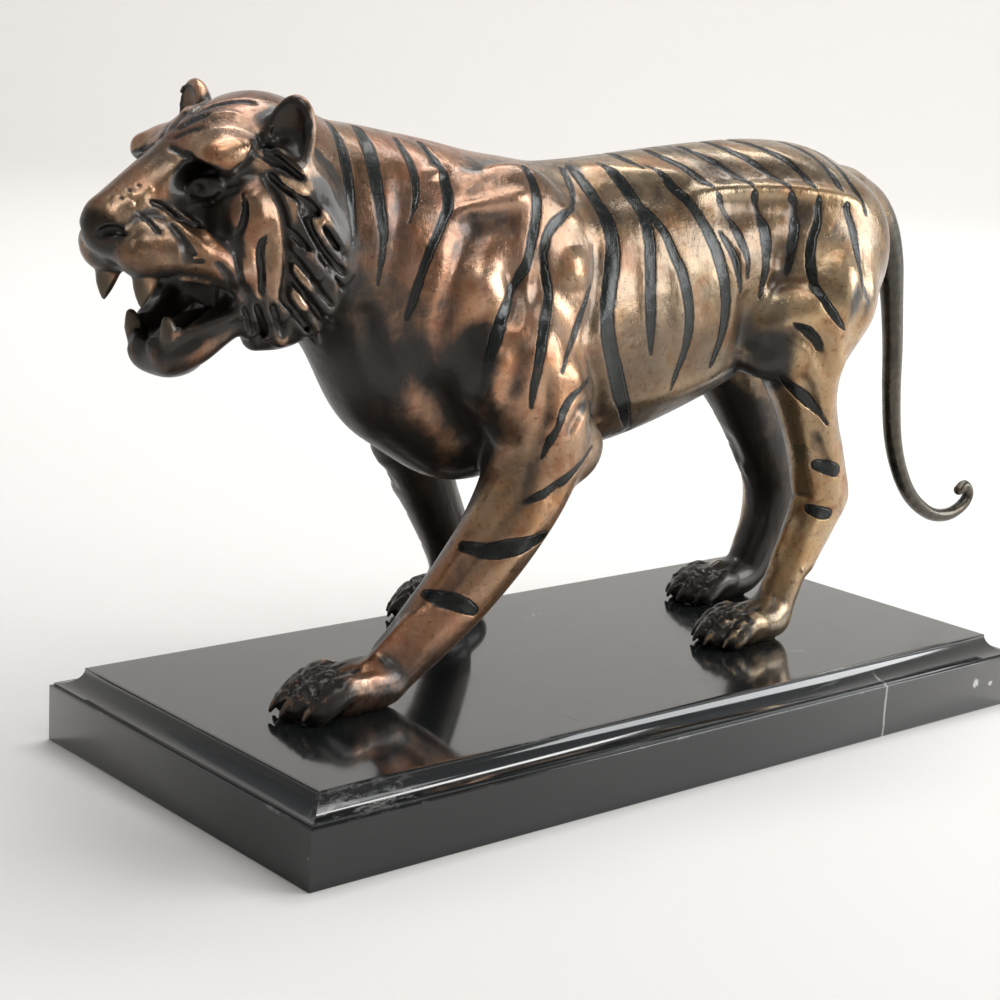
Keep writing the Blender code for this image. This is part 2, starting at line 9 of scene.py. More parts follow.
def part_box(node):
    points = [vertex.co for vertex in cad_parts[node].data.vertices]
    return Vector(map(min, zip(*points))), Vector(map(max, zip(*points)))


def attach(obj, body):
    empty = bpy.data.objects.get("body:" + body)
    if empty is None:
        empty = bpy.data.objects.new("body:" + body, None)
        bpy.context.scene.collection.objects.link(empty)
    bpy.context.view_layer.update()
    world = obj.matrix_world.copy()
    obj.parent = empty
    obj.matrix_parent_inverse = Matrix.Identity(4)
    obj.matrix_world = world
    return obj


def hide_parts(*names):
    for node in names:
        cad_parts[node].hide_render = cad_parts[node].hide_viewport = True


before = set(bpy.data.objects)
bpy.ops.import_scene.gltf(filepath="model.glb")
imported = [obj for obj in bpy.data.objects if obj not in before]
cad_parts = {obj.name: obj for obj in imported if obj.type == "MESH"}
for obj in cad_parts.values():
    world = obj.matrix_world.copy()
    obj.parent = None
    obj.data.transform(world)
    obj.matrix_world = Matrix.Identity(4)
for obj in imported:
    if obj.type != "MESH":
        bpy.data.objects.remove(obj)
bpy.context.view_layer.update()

# ---- dimensions, millimetres ----
PLINTH_LENGTH = 400.0
PLINTH_WIDTH = 183.4
PLINTH_HEIGHT = 31.75
SIDE_HEIGHT = 23.4
MOULDING_INSET = 10.44
FILLET_INSET = 1.3
FILLET_RISE = 0.95
SOLE_GAP = 0.12
HOLE_RADIUS = 2.3
COUNTERBORE_RADIUS = 6.5
COUNTERBORE_DEPTH = 14.0
HOLE_TOP_IN_PAW = 9.3
SKIN_STEP = 0.85
SKIN_TRIANGLES = 196000
RECESS = 0.38          # how far a stripe is sunk
CANVAS = 1000.0        # the photograph's side, in its own pixels
FOCAL = 2081.6         # focal length in those pixels
EYE = np.array([-596.42, -631.61, 296.13])
EYE_AXES = np.array([[0.75945, -0.64806, 0.05711], [-0.10318, -0.20665, -0.97296], [0.64233, 0.73302, -0.22381]])
VEIN_AT = 0.1075       # metres along the slab
SPECKS = [(0.1724, 0.0138, 0.0026), (0.1834, 0.0118, 0.0016)]   # along the slab, height, radius, in metres

# ---- the casting's own frame ----
# The animal stands along -X with its mid-plane at y = 0, in millimetres above the underside of the plinth.
STANCE_YAW = 5.5
STANCE_PIVOT = (100.0, 0.0)

# Centre line points: x, y, z, radius.
SPINE = [(-84, 0, 194, 46), (-62, 0, 185, 54), (-34, 0, 179.5, 61), (0, 0, 182, 61), (35, 0, 189, 58),
         (62, 0, 196, 54), (90, 0, 205, 47), (115, 0, 211, 39), (134, 0, 206, 34)]
RIB_NARROWING = 0.69
NECK = [(-62, 0, 197, 45), (-92, 0, 205.5, 44.5), (-122, 0, 214, 41.5), (-150, 0, 221, 36)]
NECK_NARROWING = 0.84
NEAR_FORE = [(-58, -33, 168, 26), (-44, -37, 142, 22), (-46, -38, 121, 19), (-58, -38, 98, 16.5),
             (-75, -37, 76, 14.5), (-92, -36.5, 59, 12.6), (-104, -37, 49, 11.2)]
FAR_FORE = [(-62, 33, 165, 26), (-60, 37, 138, 19.5), (-53, 39, 118, 15.5), (-41, 43, 96, 13),
            (-27, 49, 74, 11.6), (-17, 55, 56, 10.8), (-18, 57, 46, 10.4)]
NEAR_HIND = [(112, -27, 186, 28), (104, -30, 164, 21), (109, -30, 142, 14.5), (116.5, -30, 121, 12.4),
             (121, -30, 102, 11.4), (122, -30, 94, 10.8), (113, -30, 74, 8.8), (105, -30.5, 55, 8.6),
             (100.5, -31, 46, 9)]
FAR_HIND = [(118, 26, 186, 28), (112, 29, 160, 22), (125, 29, 134, 17.5), (137, 29, 114, 15.5),
            (146, 29, 96, 14), (149, 29.5, 84, 13), (148, 30, 68, 11.8), (143, 30, 55, 10.8), (139, 30, 46, 10)]
TAIL = [(150, 0, 226, 14), (166, 0, 222, 10.5), (177, 0, 212, 8.5), (185, 0, 197, 6.6), (189.5, 0, 177, 5.4),
        (193, 0, 155, 4.9), (195, 0, 135, 4.6), (199, 0, 112, 4.3), (206, 0, 94, 4.0), (216, 0, 80, 3.7),
        (230, 0, 70.5, 3.4), (243, 0, 68.5, 3.2), (253, 0, 72, 3.0), (257.5, 0, 78, 2.9), (254, 0, 82.5, 2.8),
        (250, 0, 80.5, 2.6)]
# Paw centres: x, y, turn in degrees, size.
PAWS = {"near_fore": (-128, -38, -2, 1.02), "far_fore": (-19, 58, 6, 0.96),
        "near_hind": (84, -32, 0, 0.9), "far_hind": (120, 30, 0, 0.9)}
TOE_SPREAD = 3.6
HEAD_AT = (-158.0, 0.0, 232.0)
HEAD_YAW = 12.0
# Root, middle and tip of each lock of the ruff on one cheek, and its half width, in the head's frame.
LOCKS = [((16, 25, 10), (4, 32, 8), (-5, 35, 3), 5.5), ((15, 27, 3), (0, 35, -1), (-13, 37, -9), 6),
         ((13, 27, -4), (-4, 36, -10), (-20, 37.5, -20), 6.5), ((11, 27, -12), (-5, 37, -20), (-22, 37, -33), 6.5),
         ((10, 27, -20), (-3, 37, -31), (-18, 35, -46), 6.5), ((11, 26, -27), (1, 35, -41), (-10, 31, -56), 6.5),
         ((14, 25, -33), (8, 31, -46), (2, 26, -60), 6), ((18, 23, -38), (17, 26, -47), (14, 21, -56), 5)]

F = np.float32


def blend_in(a, b, k):
    """Union of two distance fields with a fillet about k wide."""
    if k <= 0:
        return np.minimum(a, b)
    h = np.maximum(k - np.abs(a - b), 0)
    return np.minimum(a, b) - h * h * F(0.25 / k)


def blend_out(a, b, k):
    return -blend_in(-a, -b, k)


def curve(points, n):
    """A smooth curve through the points, n steps between each two."""
    P = np.asarray(points, float)
    if len(P) < 3:
        t = np.linspace(0, 1, n + 1)[:, None]
        return P[0] * (1 - t) + P[1] * t
    Q = np.vstack([2 * P[0] - P[1], P, 2 * P[-1] - P[-2]])
    out = []
    for i in range(1, len(Q) - 2):
        a, b, c, d = Q[i - 1:i + 3]
        t = np.linspace(0, 1, n, endpoint=False)[:, None]
        out.append(0.5 * (2 * b + (c - a) * t + (2 * a - 5 * b + 4 * c - d) * t * t + (3 * b - a - 3 * c + d) * t ** 3))
    return np.vstack(out + [P[-1:]])


def turned(yaw=0, pitch=0, roll=0):
    """Axes turned: yaw brings the front towards -Y, pitch lifts it, roll tips the sides."""
    y, p, r = np.radians([yaw, pitch, roll])
    Rz = np.array([[np.cos(y), -np.sin(y), 0], [np.sin(y), np.cos(y), 0], [0, 0, 1]])
    Ry = np.array([[np.cos(p), 0, np.sin(p)], [0, 1, 0], [-np.sin(p), 0, np.cos(p)]])
    Rx = np.array([[1, 0, 0], [0, np.cos(r), -np.sin(r)], [0, np.sin(r), np.cos(r)]])
    return Rz @ Ry @ Rx


class Egg:
    """An ellipsoid: centre, three radii, axes."""

    def __init__(s, c, r, yaw=0, pitch=0, roll=0, M=None):
        s.c = np.array(c, float)
        s.r = np.array(r, float) * np.ones(3)
        s.M = turned(yaw, pitch, roll) if M is None else M
        e = np.sqrt(((s.M * s.r) ** 2).sum(1))
        s.lo, s.hi = s.c - e, s.c + e

    def __call__(s, X, Y, Z):
        X, Y, Z = X - F(s.c[0]), Y - F(s.c[1]), Z - F(s.c[2])
        M, r = s.M.astype(F), s.r
        q = [(M[0, i] * X + M[1, i] * Y + M[2, i] * Z) / F(r[i]) for i in range(3)]
        k0 = np.sqrt(q[0] ** 2 + q[1] ** 2 + q[2] ** 2)
        k1 = np.sqrt((q[0] / F(r[0])) ** 2 + (q[1] / F(r[1])) ** 2 + (q[2] / F(r[2])) ** 2)
        return k0 * (k0 - 1) / np.maximum(k1, F(1e-6))


class Limb:
    """A tapering bar of round section along a curve through (x, y, z, radius) points; wide scales its sections."""

    def __init__(s, points, n=4, wide=(1, 1, 1)):
        s.P = curve(points, n)
        s.w = np.array(wide, float)
        R = s.P[:, 3:4] * s.w
        s.lo, s.hi = (s.P[:, :3] - R).min(0), (s.P[:, :3] + R).max(0)

    def __call__(s, X, Y, Z):
        w = s.w
        X, Y, Z = X / F(w[0]), Y / F(w[1]), Z / F(w[2])
        Q = s.P.copy()
        Q[:, :3] /= w
        best = None
        for a, b in zip(Q[:-1], Q[1:]):
            v = b[:3] - a[:3]
            L = max(float(v @ v) ** 0.5, 1e-5)
            v = (v / L).astype(F)
            g = float(np.clip((b[3] - a[3]) / L, -0.97, 0.97))
            m = F(g / (1 - g * g) ** 0.5)
            x, y, z = X - F(a[0]), Y - F(a[1]), Z - F(a[2])
            h = x * v[0] + y * v[1] + z * v[2]
            q = np.maximum(x * x + y * y + z * z - h * h, 0)
            t = np.clip(h + m * np.sqrt(q), 0, F(L))
            d = np.sqrt((h - t) ** 2 + q) - (F(a[3]) + t * F((b[3] - a[3]) / L))
            best = d if best is None else np.minimum(best, d)
        return best * F(min(1.0, w.min() ** 0.5))


HEAD_AXES = turned(HEAD_YAW, 0, 0)


def in_head(a, b, c):
    """A point of the head's frame (forward, towards the far side, up) in the casting's frame."""
    return tuple(np.array(HEAD_AT) + HEAD_AXES @ np.array([-a, b, c], float))


def head_egg(c, r, yaw=0, pitch=0, roll=0):
    return Egg(in_head(*c), r, M=HEAD_AXES @ turned(yaw, pitch, roll))


def head_limb(points, n=5):
    return Limb([in_head(*p[:3]) + (p[3],) for p in points], n=n)


def lock_leaf(a, b, w, t, s):
    """A flat leaf of hair from a to b, half w wide and half t thick, lying on cheek s."""
    d = b - a
    L = np.linalg.norm(d)
    d = d / L
    out = np.array([0.35, s * 1.0, 0.0])
    out -= (out @ d) * d
    out /= np.linalg.norm(out)
    side = np.cross(d, out)
    M = np.stack([HEAD_AXES @ np.array([-v[0], v[1], v[2]]) for v in (d, out, side)], 1)
    return Egg(in_head(*((a + b) / 2)), (L * 0.62, t, w), M=M)


def body_forms():
    o = []

    def add(f, k):
        o.append(("add", f, k))

    add(Limb(SPINE, n=10, wide=(1, RIB_NARROWING, 1)), 0)
    for s in (-1, 1):
        add(Egg((104.5, s * 15, 217), (46, 21, 28), pitch=5), 12)
        add(Egg((116, s * 17.5, 206), (34, 19, 29.5), pitch=10), 12)
    add(Limb(NECK, n=10, wide=(1, NECK_NARROWING, 1)), 14)
    add(Egg((-84, 0, 164), (36, 30, 40), pitch=-20), 14)
    add(Egg((-58, 0, 140), (32, 25, 29)), 12)
    for s in (-1, 1):
        add(Egg((-52, s * 27, 205), (30, 15, 38), pitch=-15), 10)
        add(Egg((-80, s * 27, 184), (22, 15, 26), pitch=-20), 8)
        add(Egg((-32, s * 30, 172), (24, 14, 34), pitch=12), 10)
    add(Limb(NEAR_FORE, n=10), 8)
    add(Egg((-25, -40, 128), (11.5, 8.5, 14), pitch=35), 7)
    add(Limb(FAR_FORE, n=10), 8)
    add(Egg((-38, 42, 130), (11, 9, 14), pitch=-25), 7)
    add(Egg((120.5, -24, 196), (30, 18.5, 39), pitch=28), 12)
    add(Egg((124.5, 24, 196), (30, 18.5, 39), pitch=28), 12)
    add(Limb(NEAR_HIND, n=10), 8)
    add(Egg((86, -31, 172), (17, 13, 22), pitch=35), 8)
    add(Egg((131, -30, 95), (8, 6.5, 9), pitch=-25), 5)
    add(Limb([(121, -30, 116, 9), (128, -30.5, 102, 7.8), (126.5, -30.5, 85, 6.8), (116, -30.5, 66, 6)], n=6), 6)
    add(Limb(FAR_HIND, n=10), 8)
    add(Egg((94, 30, 168), (17, 13, 22), pitch=35), 8)
    add(Egg((154, 29, 98), (8, 7, 9)), 5)
    add(Limb([(143, 29, 116, 10), (151, 29, 102, 8), (152, 29.5, 84, 7.6), (148, 30, 68, 7)], n=6), 6)
    add(Limb(TAIL, n=4), 8)
    return o


def paw_forms(cx, cy, angle, size):
    o = []
    M = turned(angle)

    def at(a, b, c, *r):
        v = M @ np.array([-a, b, 0.0]) * size
        return (cx + v[0], cy + v[1], PLINTH_HEIGHT + c * size) + tuple(q * size for q in r)

    o.append(("add", Egg(at(-2, 0, 9.5), np.array((19, 12.5, 10)) * size, M=M @ turned(pitch=-13)), 4))
    o.append(("add", Egg(at(-14, 0, 9), np.array((11, 10, 9)) * size, M=M), 5))
    for i in range(4):
        b = (i - 1.5) * 2 * TOE_SPREAD * (1.0 if i in (1, 2) else 0.95)
        a = 14.5 if i in (1, 2) else 9
        o.append(("add", Limb([at(a - 10, b * 0.85, 11.5, 5.2), at(a - 2, b, 12, 5.6), at(a + 4, b * 1.08, 8.6, 5.5),
                               at(a + 8, b * 1.12, 5.4, 4.9)], n=5), 1.4))
        o.append(("add", Limb([at(a + 10, b * 1.12, 7.6, 2.0), at(a + 13.5, b * 1.13, 5.6, 1.5),
                               at(a + 15.5, b * 1.14, 2.6, 0.8)], n=3), 0.8))
    return o


def head_forms():
    o = []

    def add(f, k=3):
        o.append(("add", f, k))

    def cut(f, k=2):
        o.append(("cut", f, k))

    # skull, bridge, muzzle
    add(head_egg((-3, 0, 8), (29, 29, 26)), 8)
    add(head_egg((20, 0, 11), (20, 21, 15), pitch=-32), 8)
    add(head_egg((10, 0, -12), (24, 26, 24)), 8)
    add(head_limb([(26, 0, 5, 14.5), (40, 0, -0.5, 12.3), (52, 0, -6.5, 10.6), (62, 0, -11.5, 9.2)]), 6)
    add(head_egg((43, 0, -19), (26, 16, 11)), 6)
    for s in (-1, 1):
        # whisker pad, lip, cheekbone, cheek, brow
        add(head_egg((52.5, s * 10.3, -21.5), (13, 10.5, 11), pitch=-6), 3)
        add(head_limb([(46, s * 17, -21, 9), (36, s * 21, -23.5, 8), (27, s * 24, -29, 6)]), 4)
        add(head_egg((14.5, s * 22.5, -7), (16, 11.5, 14), pitch=-20), 7)
        add(head_egg((10, s * 22, -22), (18, 12, 20)), 6)
        add(head_limb([(36, s * 6, 8, 4.5), (30, s * 12.5, 12, 5.4), (22, s * 19, 13, 6.6), (13, s * 24.2, 10, 5.6)]), 3)
        add(head_egg((25.4, s * 16.6, 11.4), (12.5, 9.6, 8.0), pitch=-17, yaw=s * -14), 3)
    # nose and its pad
    add(head_egg((62.5, 0, -13.5), (9, 9.5, 8.5), pitch=-15), 3)
    add(head_egg((64.6, 0, -15.6), (7.4, 9.8, 9.6), pitch=-20), 0.6)
    # lower jaw
    for s in (-1, 1):
        add(head_limb([(0, s * 18, -36, 8), (12, s * 17.5, -43, 7.2), (24, s * 15.5, -50.5, 7), (33, s * 11.5, -57.5, 7.6),
                       (39, s * 6, -61, 7.6)]), 5)
    add(head_egg((32.5, 0, -61), (13, 12, 9.6), pitch=-8), 4)
    add(head_egg((4, 0, -38), (18, 19, 11)), 6)
    # open mouth, rolled lip, canines, tongue
    cut(head_egg((42, 0, -42), (30, 15, 8.5), pitch=-16), 3)
    cut(head_egg((30, 0, -46), (17, 11, 9), pitch=-24), 3)
    for s in (-1, 1):
        add(head_limb([(44, s * 19, -31, 1.6), (36, s * 22, -32, 1.7), (27, s * 24, -34, 1.7), (21.5, s * 24.5, -40, 1.7),
                       (24, s * 23, -45.5, 1.7), (33, s * 18, -49.5, 1.7), (41, s * 11.5, -53.5, 1.8), (45.5, s * 4, -56.5, 1.8)],
                      n=8), 2.5)
        add(head_limb([(53.5, s * 10.8, -28, 5.4), (55, s * 11, -35.5, 3.5), (55.8, s * 11, -41.6, 0.8)], n=3), 1.0)
        add(head_limb([(41.5, s * 10.2, -57, 3.8), (42.8, s * 10.4, -51.5, 3.2), (43.8, s * 10.6, -48.0, 1.9)], n=3), 1.0)
    add(head_egg((28, 0, -53), (15, 8, 4.5), pitch=-22), 2)
    # eye sockets, sunk eyes between their lids, nostrils
    for s in (-1, 1):
        cut(head_egg((40, s * 19.5, 2.4), (18, 8.2, 6.6), pitch=-12, yaw=s * -28), 2.5)
        add(head_egg((28.6, s * 16.6, 0.8), (5.4, 5.2, 4.4)), 0.5)
        add(head_limb([(36.5, s * 11.2, -0.4, 0.9), (34.6, s * 14.6, 2.2, 1.3), (31.4, s * 18.6, 2.6, 1.4), (26.8, s * 22.2, 0.6, 0.8)]), 0.6)
        add(head_limb([(36.5, s * 11.2, -1.2, 0.8), (34.6, s * 14.8, -2.2, 1.2), (31.2, s * 18.8, -1.8, 1.3), (26.8, s * 22.4, -0.4, 0.8)]), 0.6)
        cut(head_limb([(72.0, s * 5.0, -17.5, 0.8), (69.0, s * 6.8, -15.2, 1.9), (65.5, s * 9.4, -14.6, 1.7), (62.0, s * 10.8, -16.6, 0.7)]), 0.5)
    cut(head_limb([(73.5, 0, -18, 0.5), (70.5, 0, -25, 0.9), (65, 0, -31, 0.8)]), 0.8)
    # ears
    for s, yaw, at, size, dish, hollow in ((-1, 34, (3.2, -27.0, 17.0), (6, 9.8, 17.6), (7.8, -30.2, 18.0), (5.6, 7.6, 15.2)),
                                           (1, -20, (2, 27.5, 21.5), (6, 12, 15.5), (6.8, 28.8, 22.5), (5.6, 9.2, 12.8))):
        add(head_egg(at, size, yaw=yaw, roll=s * -12), 3)
        cut(head_egg(dish, hollow, yaw=yaw, roll=s * -12), 1.2)
    # ruff: a dished mass behind the cheeks, thickest along its edge, with broad locks laid over it
    add(head_egg((-7, 0, -21), (13, 35, 35), pitch=8), 5)
    for s in (-1, 1):
        add(head_limb([(3, s * 27, 12, 6), (-6, s * 29.5, 2, 7.5), (-12.5, s * 30.5, -10, 8.6), (-16, s * 30, -22, 9.2), (-15.5, s * 28.5, -34, 9),
                       (-9.5, s * 26, -45.5, 8.2), (-0.5, s * 22, -52.5, 6.8), (9, s * 19, -54.5, 5.6)]), 4)
        add(head_egg((2, s * 24, -28), (13, 11, 22), pitch=12), 5)
        for p, q, r, w in LOCKS:
            p, q, r = (np.array((v[0], s * v[1], v[2]), float) for v in (p, q, r))
            add(lock_leaf(p, q, w, 2.6, s), 3)
            add(lock_leaf(q - (q - p) * 0.3, q + (r - q) * 0.72, w * 0.82, 2.2, s), 3)
    return o


def casting_forms():
    o = body_forms()
    for paw in PAWS.values():
        o += paw_forms(*paw)
    return o + head_forms()


def to_stand(P):
    """Points of the casting's frame set on the plinth, which is centred on the origin."""
    y = np.radians(STANCE_YAW)
    Q = np.array([[np.cos(y), np.sin(y), 0], [-np.sin(y), np.cos(y), 0], [0, 0, 1]])
    pivot = np.array(STANCE_PIVOT + (0.0,))
    return (np.asarray(P, float) - pivot) @ Q.T + pivot


# ---- sampling ----
CORNERS = [(i, j, k) for i in (0, 1) for j in (0, 1) for k in (0, 1)]
EDGES = [(a, b) for a in range(8) for b in range(a + 1, 8)
         if sum(abs(p - q) for p, q in zip(CORNERS[a], CORNERS[b])) == 1]


def sample(forms, lo, hi, step, pad=6.0):
    """The field on a coarse grid."""
    lo = np.asarray(lo, float)
    n = np.ceil((np.asarray(hi) - lo) / step).astype(int) + 1
    D = np.full(n, 60.0, F)
    axes = [(lo[i] + step * np.arange(n[i])).astype(F) for i in range(3)]
    for kind, form, k in forms:
        i0 = np.maximum(np.floor((form.lo - pad - k - lo) / step).astype(int), 0)
        i1 = np.minimum(np.ceil((form.hi + pad + k - lo) / step).astype(int) + 1, n)
        if (i1 <= i0).any():
            continue
        box = tuple(slice(a, b) for a, b in zip(i0, i1))
        v = form(axes[0][box[0]][:, None, None], axes[1][box[1]][None, :, None], axes[2][box[2]][None, None, :])
        D[box] = blend_in(D[box], v, k) if kind == "add" else blend_out(D[box], -v, k)
    return D


def read_grid(D, lo, step, P):
    """The grid's value at points, between its nodes linearly."""
    q = np.clip((np.asarray(P, float) - lo) / step, 0, np.array(D.shape) - 1.001)
    i = q.astype(int)
    f = q - i
    out = 0
    for a, b, c in CORNERS:
        w = (f[:, 0] if a else 1 - f[:, 0]) * (f[:, 1] if b else 1 - f[:, 1]) * (f[:, 2] if c else 1 - f[:, 2])
        out = out + w * D[i[:, 0] + a, i[:, 1] + b, i[:, 2] + c]
    return out


def slope(D, lo, step, P, e):
    g = np.empty((len(P), 3))
    for a in range(3):
        d = np.zeros(3)
        d[a] = e
        g[:, a] = read_grid(D, lo, step, P + d) - read_grid(D, lo, step, P - d)
    return g / (np.linalg.norm(g, axis=1)[:, None] + 1e-9)


class Pruned:
    """A limb's segments that count within a block."""

    def __init__(s, limb, c, R):
        w = limb.w
        Q = limb.P.copy()
        Q[:, :3] /= w
        c = c / w
        A, V = Q[:-1], Q[1:] - Q[:-1]
        L2 = np.maximum((V[:, :3] ** 2).sum(1), 1e-9)
        t = np.clip(((c - A[:, :3]) * V[:, :3]).sum(1) / L2, 0, 1)
        d = np.linalg.norm(c - A[:, :3] - t[:, None] * V[:, :3], axis=1) - np.maximum(A[:, 3], A[:, 3] + V[:, 3])
        reach = R / w.min()
        s.least = d.min() - reach
        s.limb = limb
        spread = np.abs(V[:, 3]).max()
        s.keep = np.flatnonzero(d <= d.min() + 2 * reach + 2 * spread)

    def __call__(s, X, Y, Z):
        w = s.limb.w
        X, Y, Z = X / F(w[0]), Y / F(w[1]), Z / F(w[2])
        Q = s.limb.P.copy()
        Q[:, :3] /= w
        best = None
        for i in s.keep:
            a, b = Q[i], Q[i + 1]
            v = b[:3] - a[:3]
            L = max(float(v @ v) ** 0.5, 1e-5)
            v = (v / L).astype(F)
            g = float(np.clip((b[3] - a[3]) / L, -0.97, 0.97))
            m = F(g / (1 - g * g) ** 0.5)
            x, y, z = X - F(a[0]), Y - F(a[1]), Z - F(a[2])
            h = x * v[0] + y * v[1] + z * v[2]
            q = np.maximum(x * x + y * y + z * z - h * h, 0)
            t = np.clip(h + m * np.sqrt(q), 0, F(L))
            d = np.sqrt((h - t) ** 2 + q) - (F(a[3]) + t * F((b[3] - a[3]) / L))
            best = d if best is None else np.minimum(best, d)
        return best * F(min(1.0, w.min() ** 0.5))


def fine_field(forms, marks, coarse, clo, cstep, lo, n, step, cells=20):
    """The field on a fine grid, worked out only in the blocks that the surface passes through."""
    margins, most = [], 0.0
    for kind, form, k in reversed(forms):
        most = max(most, k)
        margins.append(most + 2.0)
    margins = margins[::-1]
    D = np.full(n, 9.0, F)
    half = 0.5 * cells * step
    R = half * 3 ** 0.5
    nb = [-(-m // cells) for m in n]
    centres = np.stack(np.meshgrid(*[lo[i] + (np.arange(nb[i]) + 0.5) * cells * step for i in range(3)], indexing="ij"), -1).reshape(-1, 3)
    # what the coarse field allows inside each block
    worth = np.zeros(len(centres), bool)
    sign = np.zeros(len(centres), bool)
    offs = np.stack(np.meshgrid(*[np.linspace(-half, half, 6)] * 3, indexing="ij"), -1).reshape(-1, 3)
    for s in range(0, len(centres), 4000):
        c = centres[s:s + 4000]
        v = read_grid(coarse, clo, cstep, (c[:, None] + offs[None]).reshape(-1, 3)).reshape(len(c), -1)
        near = 0.2 * cells * step * 0.9 + 2.6
        worth[s:s + 4000] = (v.min(1) < near) & (v.max(1) > -near)
        sign[s:s + 4000] = v.mean(1) < 0
    index = np.stack(np.meshgrid(*[np.arange(m) for m in nb], indexing="ij"), -1).reshape(-1, 3)
    for at, c, w, inside in zip(index, centres, worth, sign):
        i0 = at * cells
        i1 = np.minimum(i0 + cells, n)
        box = tuple(slice(a, b) for a, b in zip(i0, i1))
        if not w:
            if inside:
                D[box] = -9.0
            continue
        X = (lo[0] + step * np.arange(i0[0], i1[0])).astype(F)[:, None, None]
        Y = (lo[1] + step * np.arange(i0[1], i1[1])).astype(F)[None, :, None]
        Z = (lo[2] + step * np.arange(i0[2], i1[2])).astype(F)[None, None, :]
        blo, bhi = lo + step * i0, lo + step * (i1 - 1)
        d = np.full([b - a for a, b in zip(i0, i1)], 60.0, F)
        for (kind, form, k), m in zip(forms, margins):
            if (form.lo - m > bhi).any() or (form.hi + m < blo).any():
                continue
            if isinstance(form, Limb):
                form = Pruned(form, c, R)
                if form.least * 0.8 > m:
                    continue
            v = form(X, Y, Z)
            d = blend_in(d, v, k) if kind == "add" else blend_out(d, -v, k)
        for mark in marks:
            if (mark.lo > bhi).any() or (mark.hi < blo).any():
                continue
            d = d + mark(X, Y, Z)
        D[box] = d
    return D


def cell_codes(inside):
    n = inside.shape
    code = np.zeros([m - 1 for m in n], np.uint8)
    for bit, (i, j, k) in enumerate(CORNERS):
        code |= inside[i:n[0] - 1 + i, j:n[1] - 1 + j, k:n[2] - 1 + k].astype(np.uint8) << np.uint8(bit)
    return code


def one_piece(members):
    members = set(members)
    if not members:
        return True
    seen, todo = set(), [min(members)]
    while todo:
        c = todo.pop()
        if c in seen:
            continue
        seen.add(c)
        todo += [b if a == c else a for a, b in EDGES if c in (a, b) and (b if a == c else a) in members]
    return seen == members


SPLIT_CELL = np.array([not (one_piece(c for c in range(8) if code >> c & 1)
                            and one_piece(c for c in range(8) if not code >> c & 1)) for code in range(256)])


def skin(D, lo, step):
    """Points and outward quads of the zero surface: one point in each cell that the surface crosses."""
    for _ in range(12):
        split = np.argwhere(SPLIT_CELL[cell_codes(D < 0)])
        if not len(split):
            break
        for c in CORNERS:
            at = tuple((split + c).T)
            D[at] = np.minimum(D[at], F(-0.05 * step))
    inside = D < 0
    code = cell_codes(inside)
    crossed = (code > 0) & (code < 255)
    cells = np.argwhere(crossed)
    number = np.full(code.shape, -1, np.int32)
    number[crossed] = np.arange(len(cells), dtype=np.int32)
    total = np.zeros((len(cells), 3))
    count = np.zeros(len(cells))
    for a, b in EDGES:
        ca, cb = np.array(CORNERS[a]), np.array(CORNERS[b])
        va = D[tuple((cells + ca).T)].astype(float)
        vb = D[tuple((cells + cb).T)].astype(float)
        over = (va < 0) != (vb < 0)
        t = va[over] / (va[over] - vb[over])
        total[over] += ca + (cb - ca) * t[:, None]
        count[over] += 1
    points = lo + step * (cells + total / count[:, None])
    quads = []
    for axis in range(3):
        u, v = (axis + 1) % 3, (axis + 2) % 3
        head = [slice(None)] * 3
        tail = [slice(None)] * 3
        head[axis], tail[axis] = slice(0, -1), slice(1, None)
        a, b = inside[tuple(head)], inside[tuple(tail)]
        for there, turn in ((a & ~b, False), (~a & b, True)):
            e = np.argwhere(there)
            e = e[(e[:, u] > 0) & (e[:, v] > 0)]
            corner = []
            for du, dv in ((-1, -1), (0, -1), (0, 0), (-1, 0)):
                c = e.copy()
                c[:, u] += du
                c[:, v] += dv
                corner.append(number[tuple(c.T)])
            q = np.stack(corner, 1)
            quads.append(q[:, ::-1] if turn else q)
    return points, np.vstack(quads)


def kept_pieces(points, quads):
    """The largest connected skin only, which drops any sealed hollow or crumb."""
    label = np.arange(len(points))
    ends = np.concatenate([quads[:, [0, 1]], quads[:, [1, 2]], quads[:, [2, 3]], quads[:, [3, 0]]])
    while True:
        low = np.minimum(label[ends[:, 0]], label[ends[:, 1]])
        new = label.copy()
        np.minimum.at(new, ends[:, 0], low)
        np.minimum.at(new, ends[:, 1], low)
        new = new[new]
        new = new[new]
        if (new == label).all():
            break
        label = new
    best = np.bincount(label).argmax()
    keep = label == best
    number = np.cumsum(keep) - 1
    quads = quads[keep[quads[:, 0]]]
    return points[keep], number[quads]


# ---- setting relief out from the viewpoint of the photograph ----
def to_casting(P):
    """Points of the plinth's frame in the casting's own frame."""
    y = np.radians(STANCE_YAW)
    Q = np.array([[np.cos(y), np.sin(y), 0], [-np.sin(y), np.cos(y), 0], [0, 0, 1]])
    pivot = np.array(STANCE_PIVOT + (0.0,))
    return (np.asarray(P, float) - pivot) @ Q + pivot


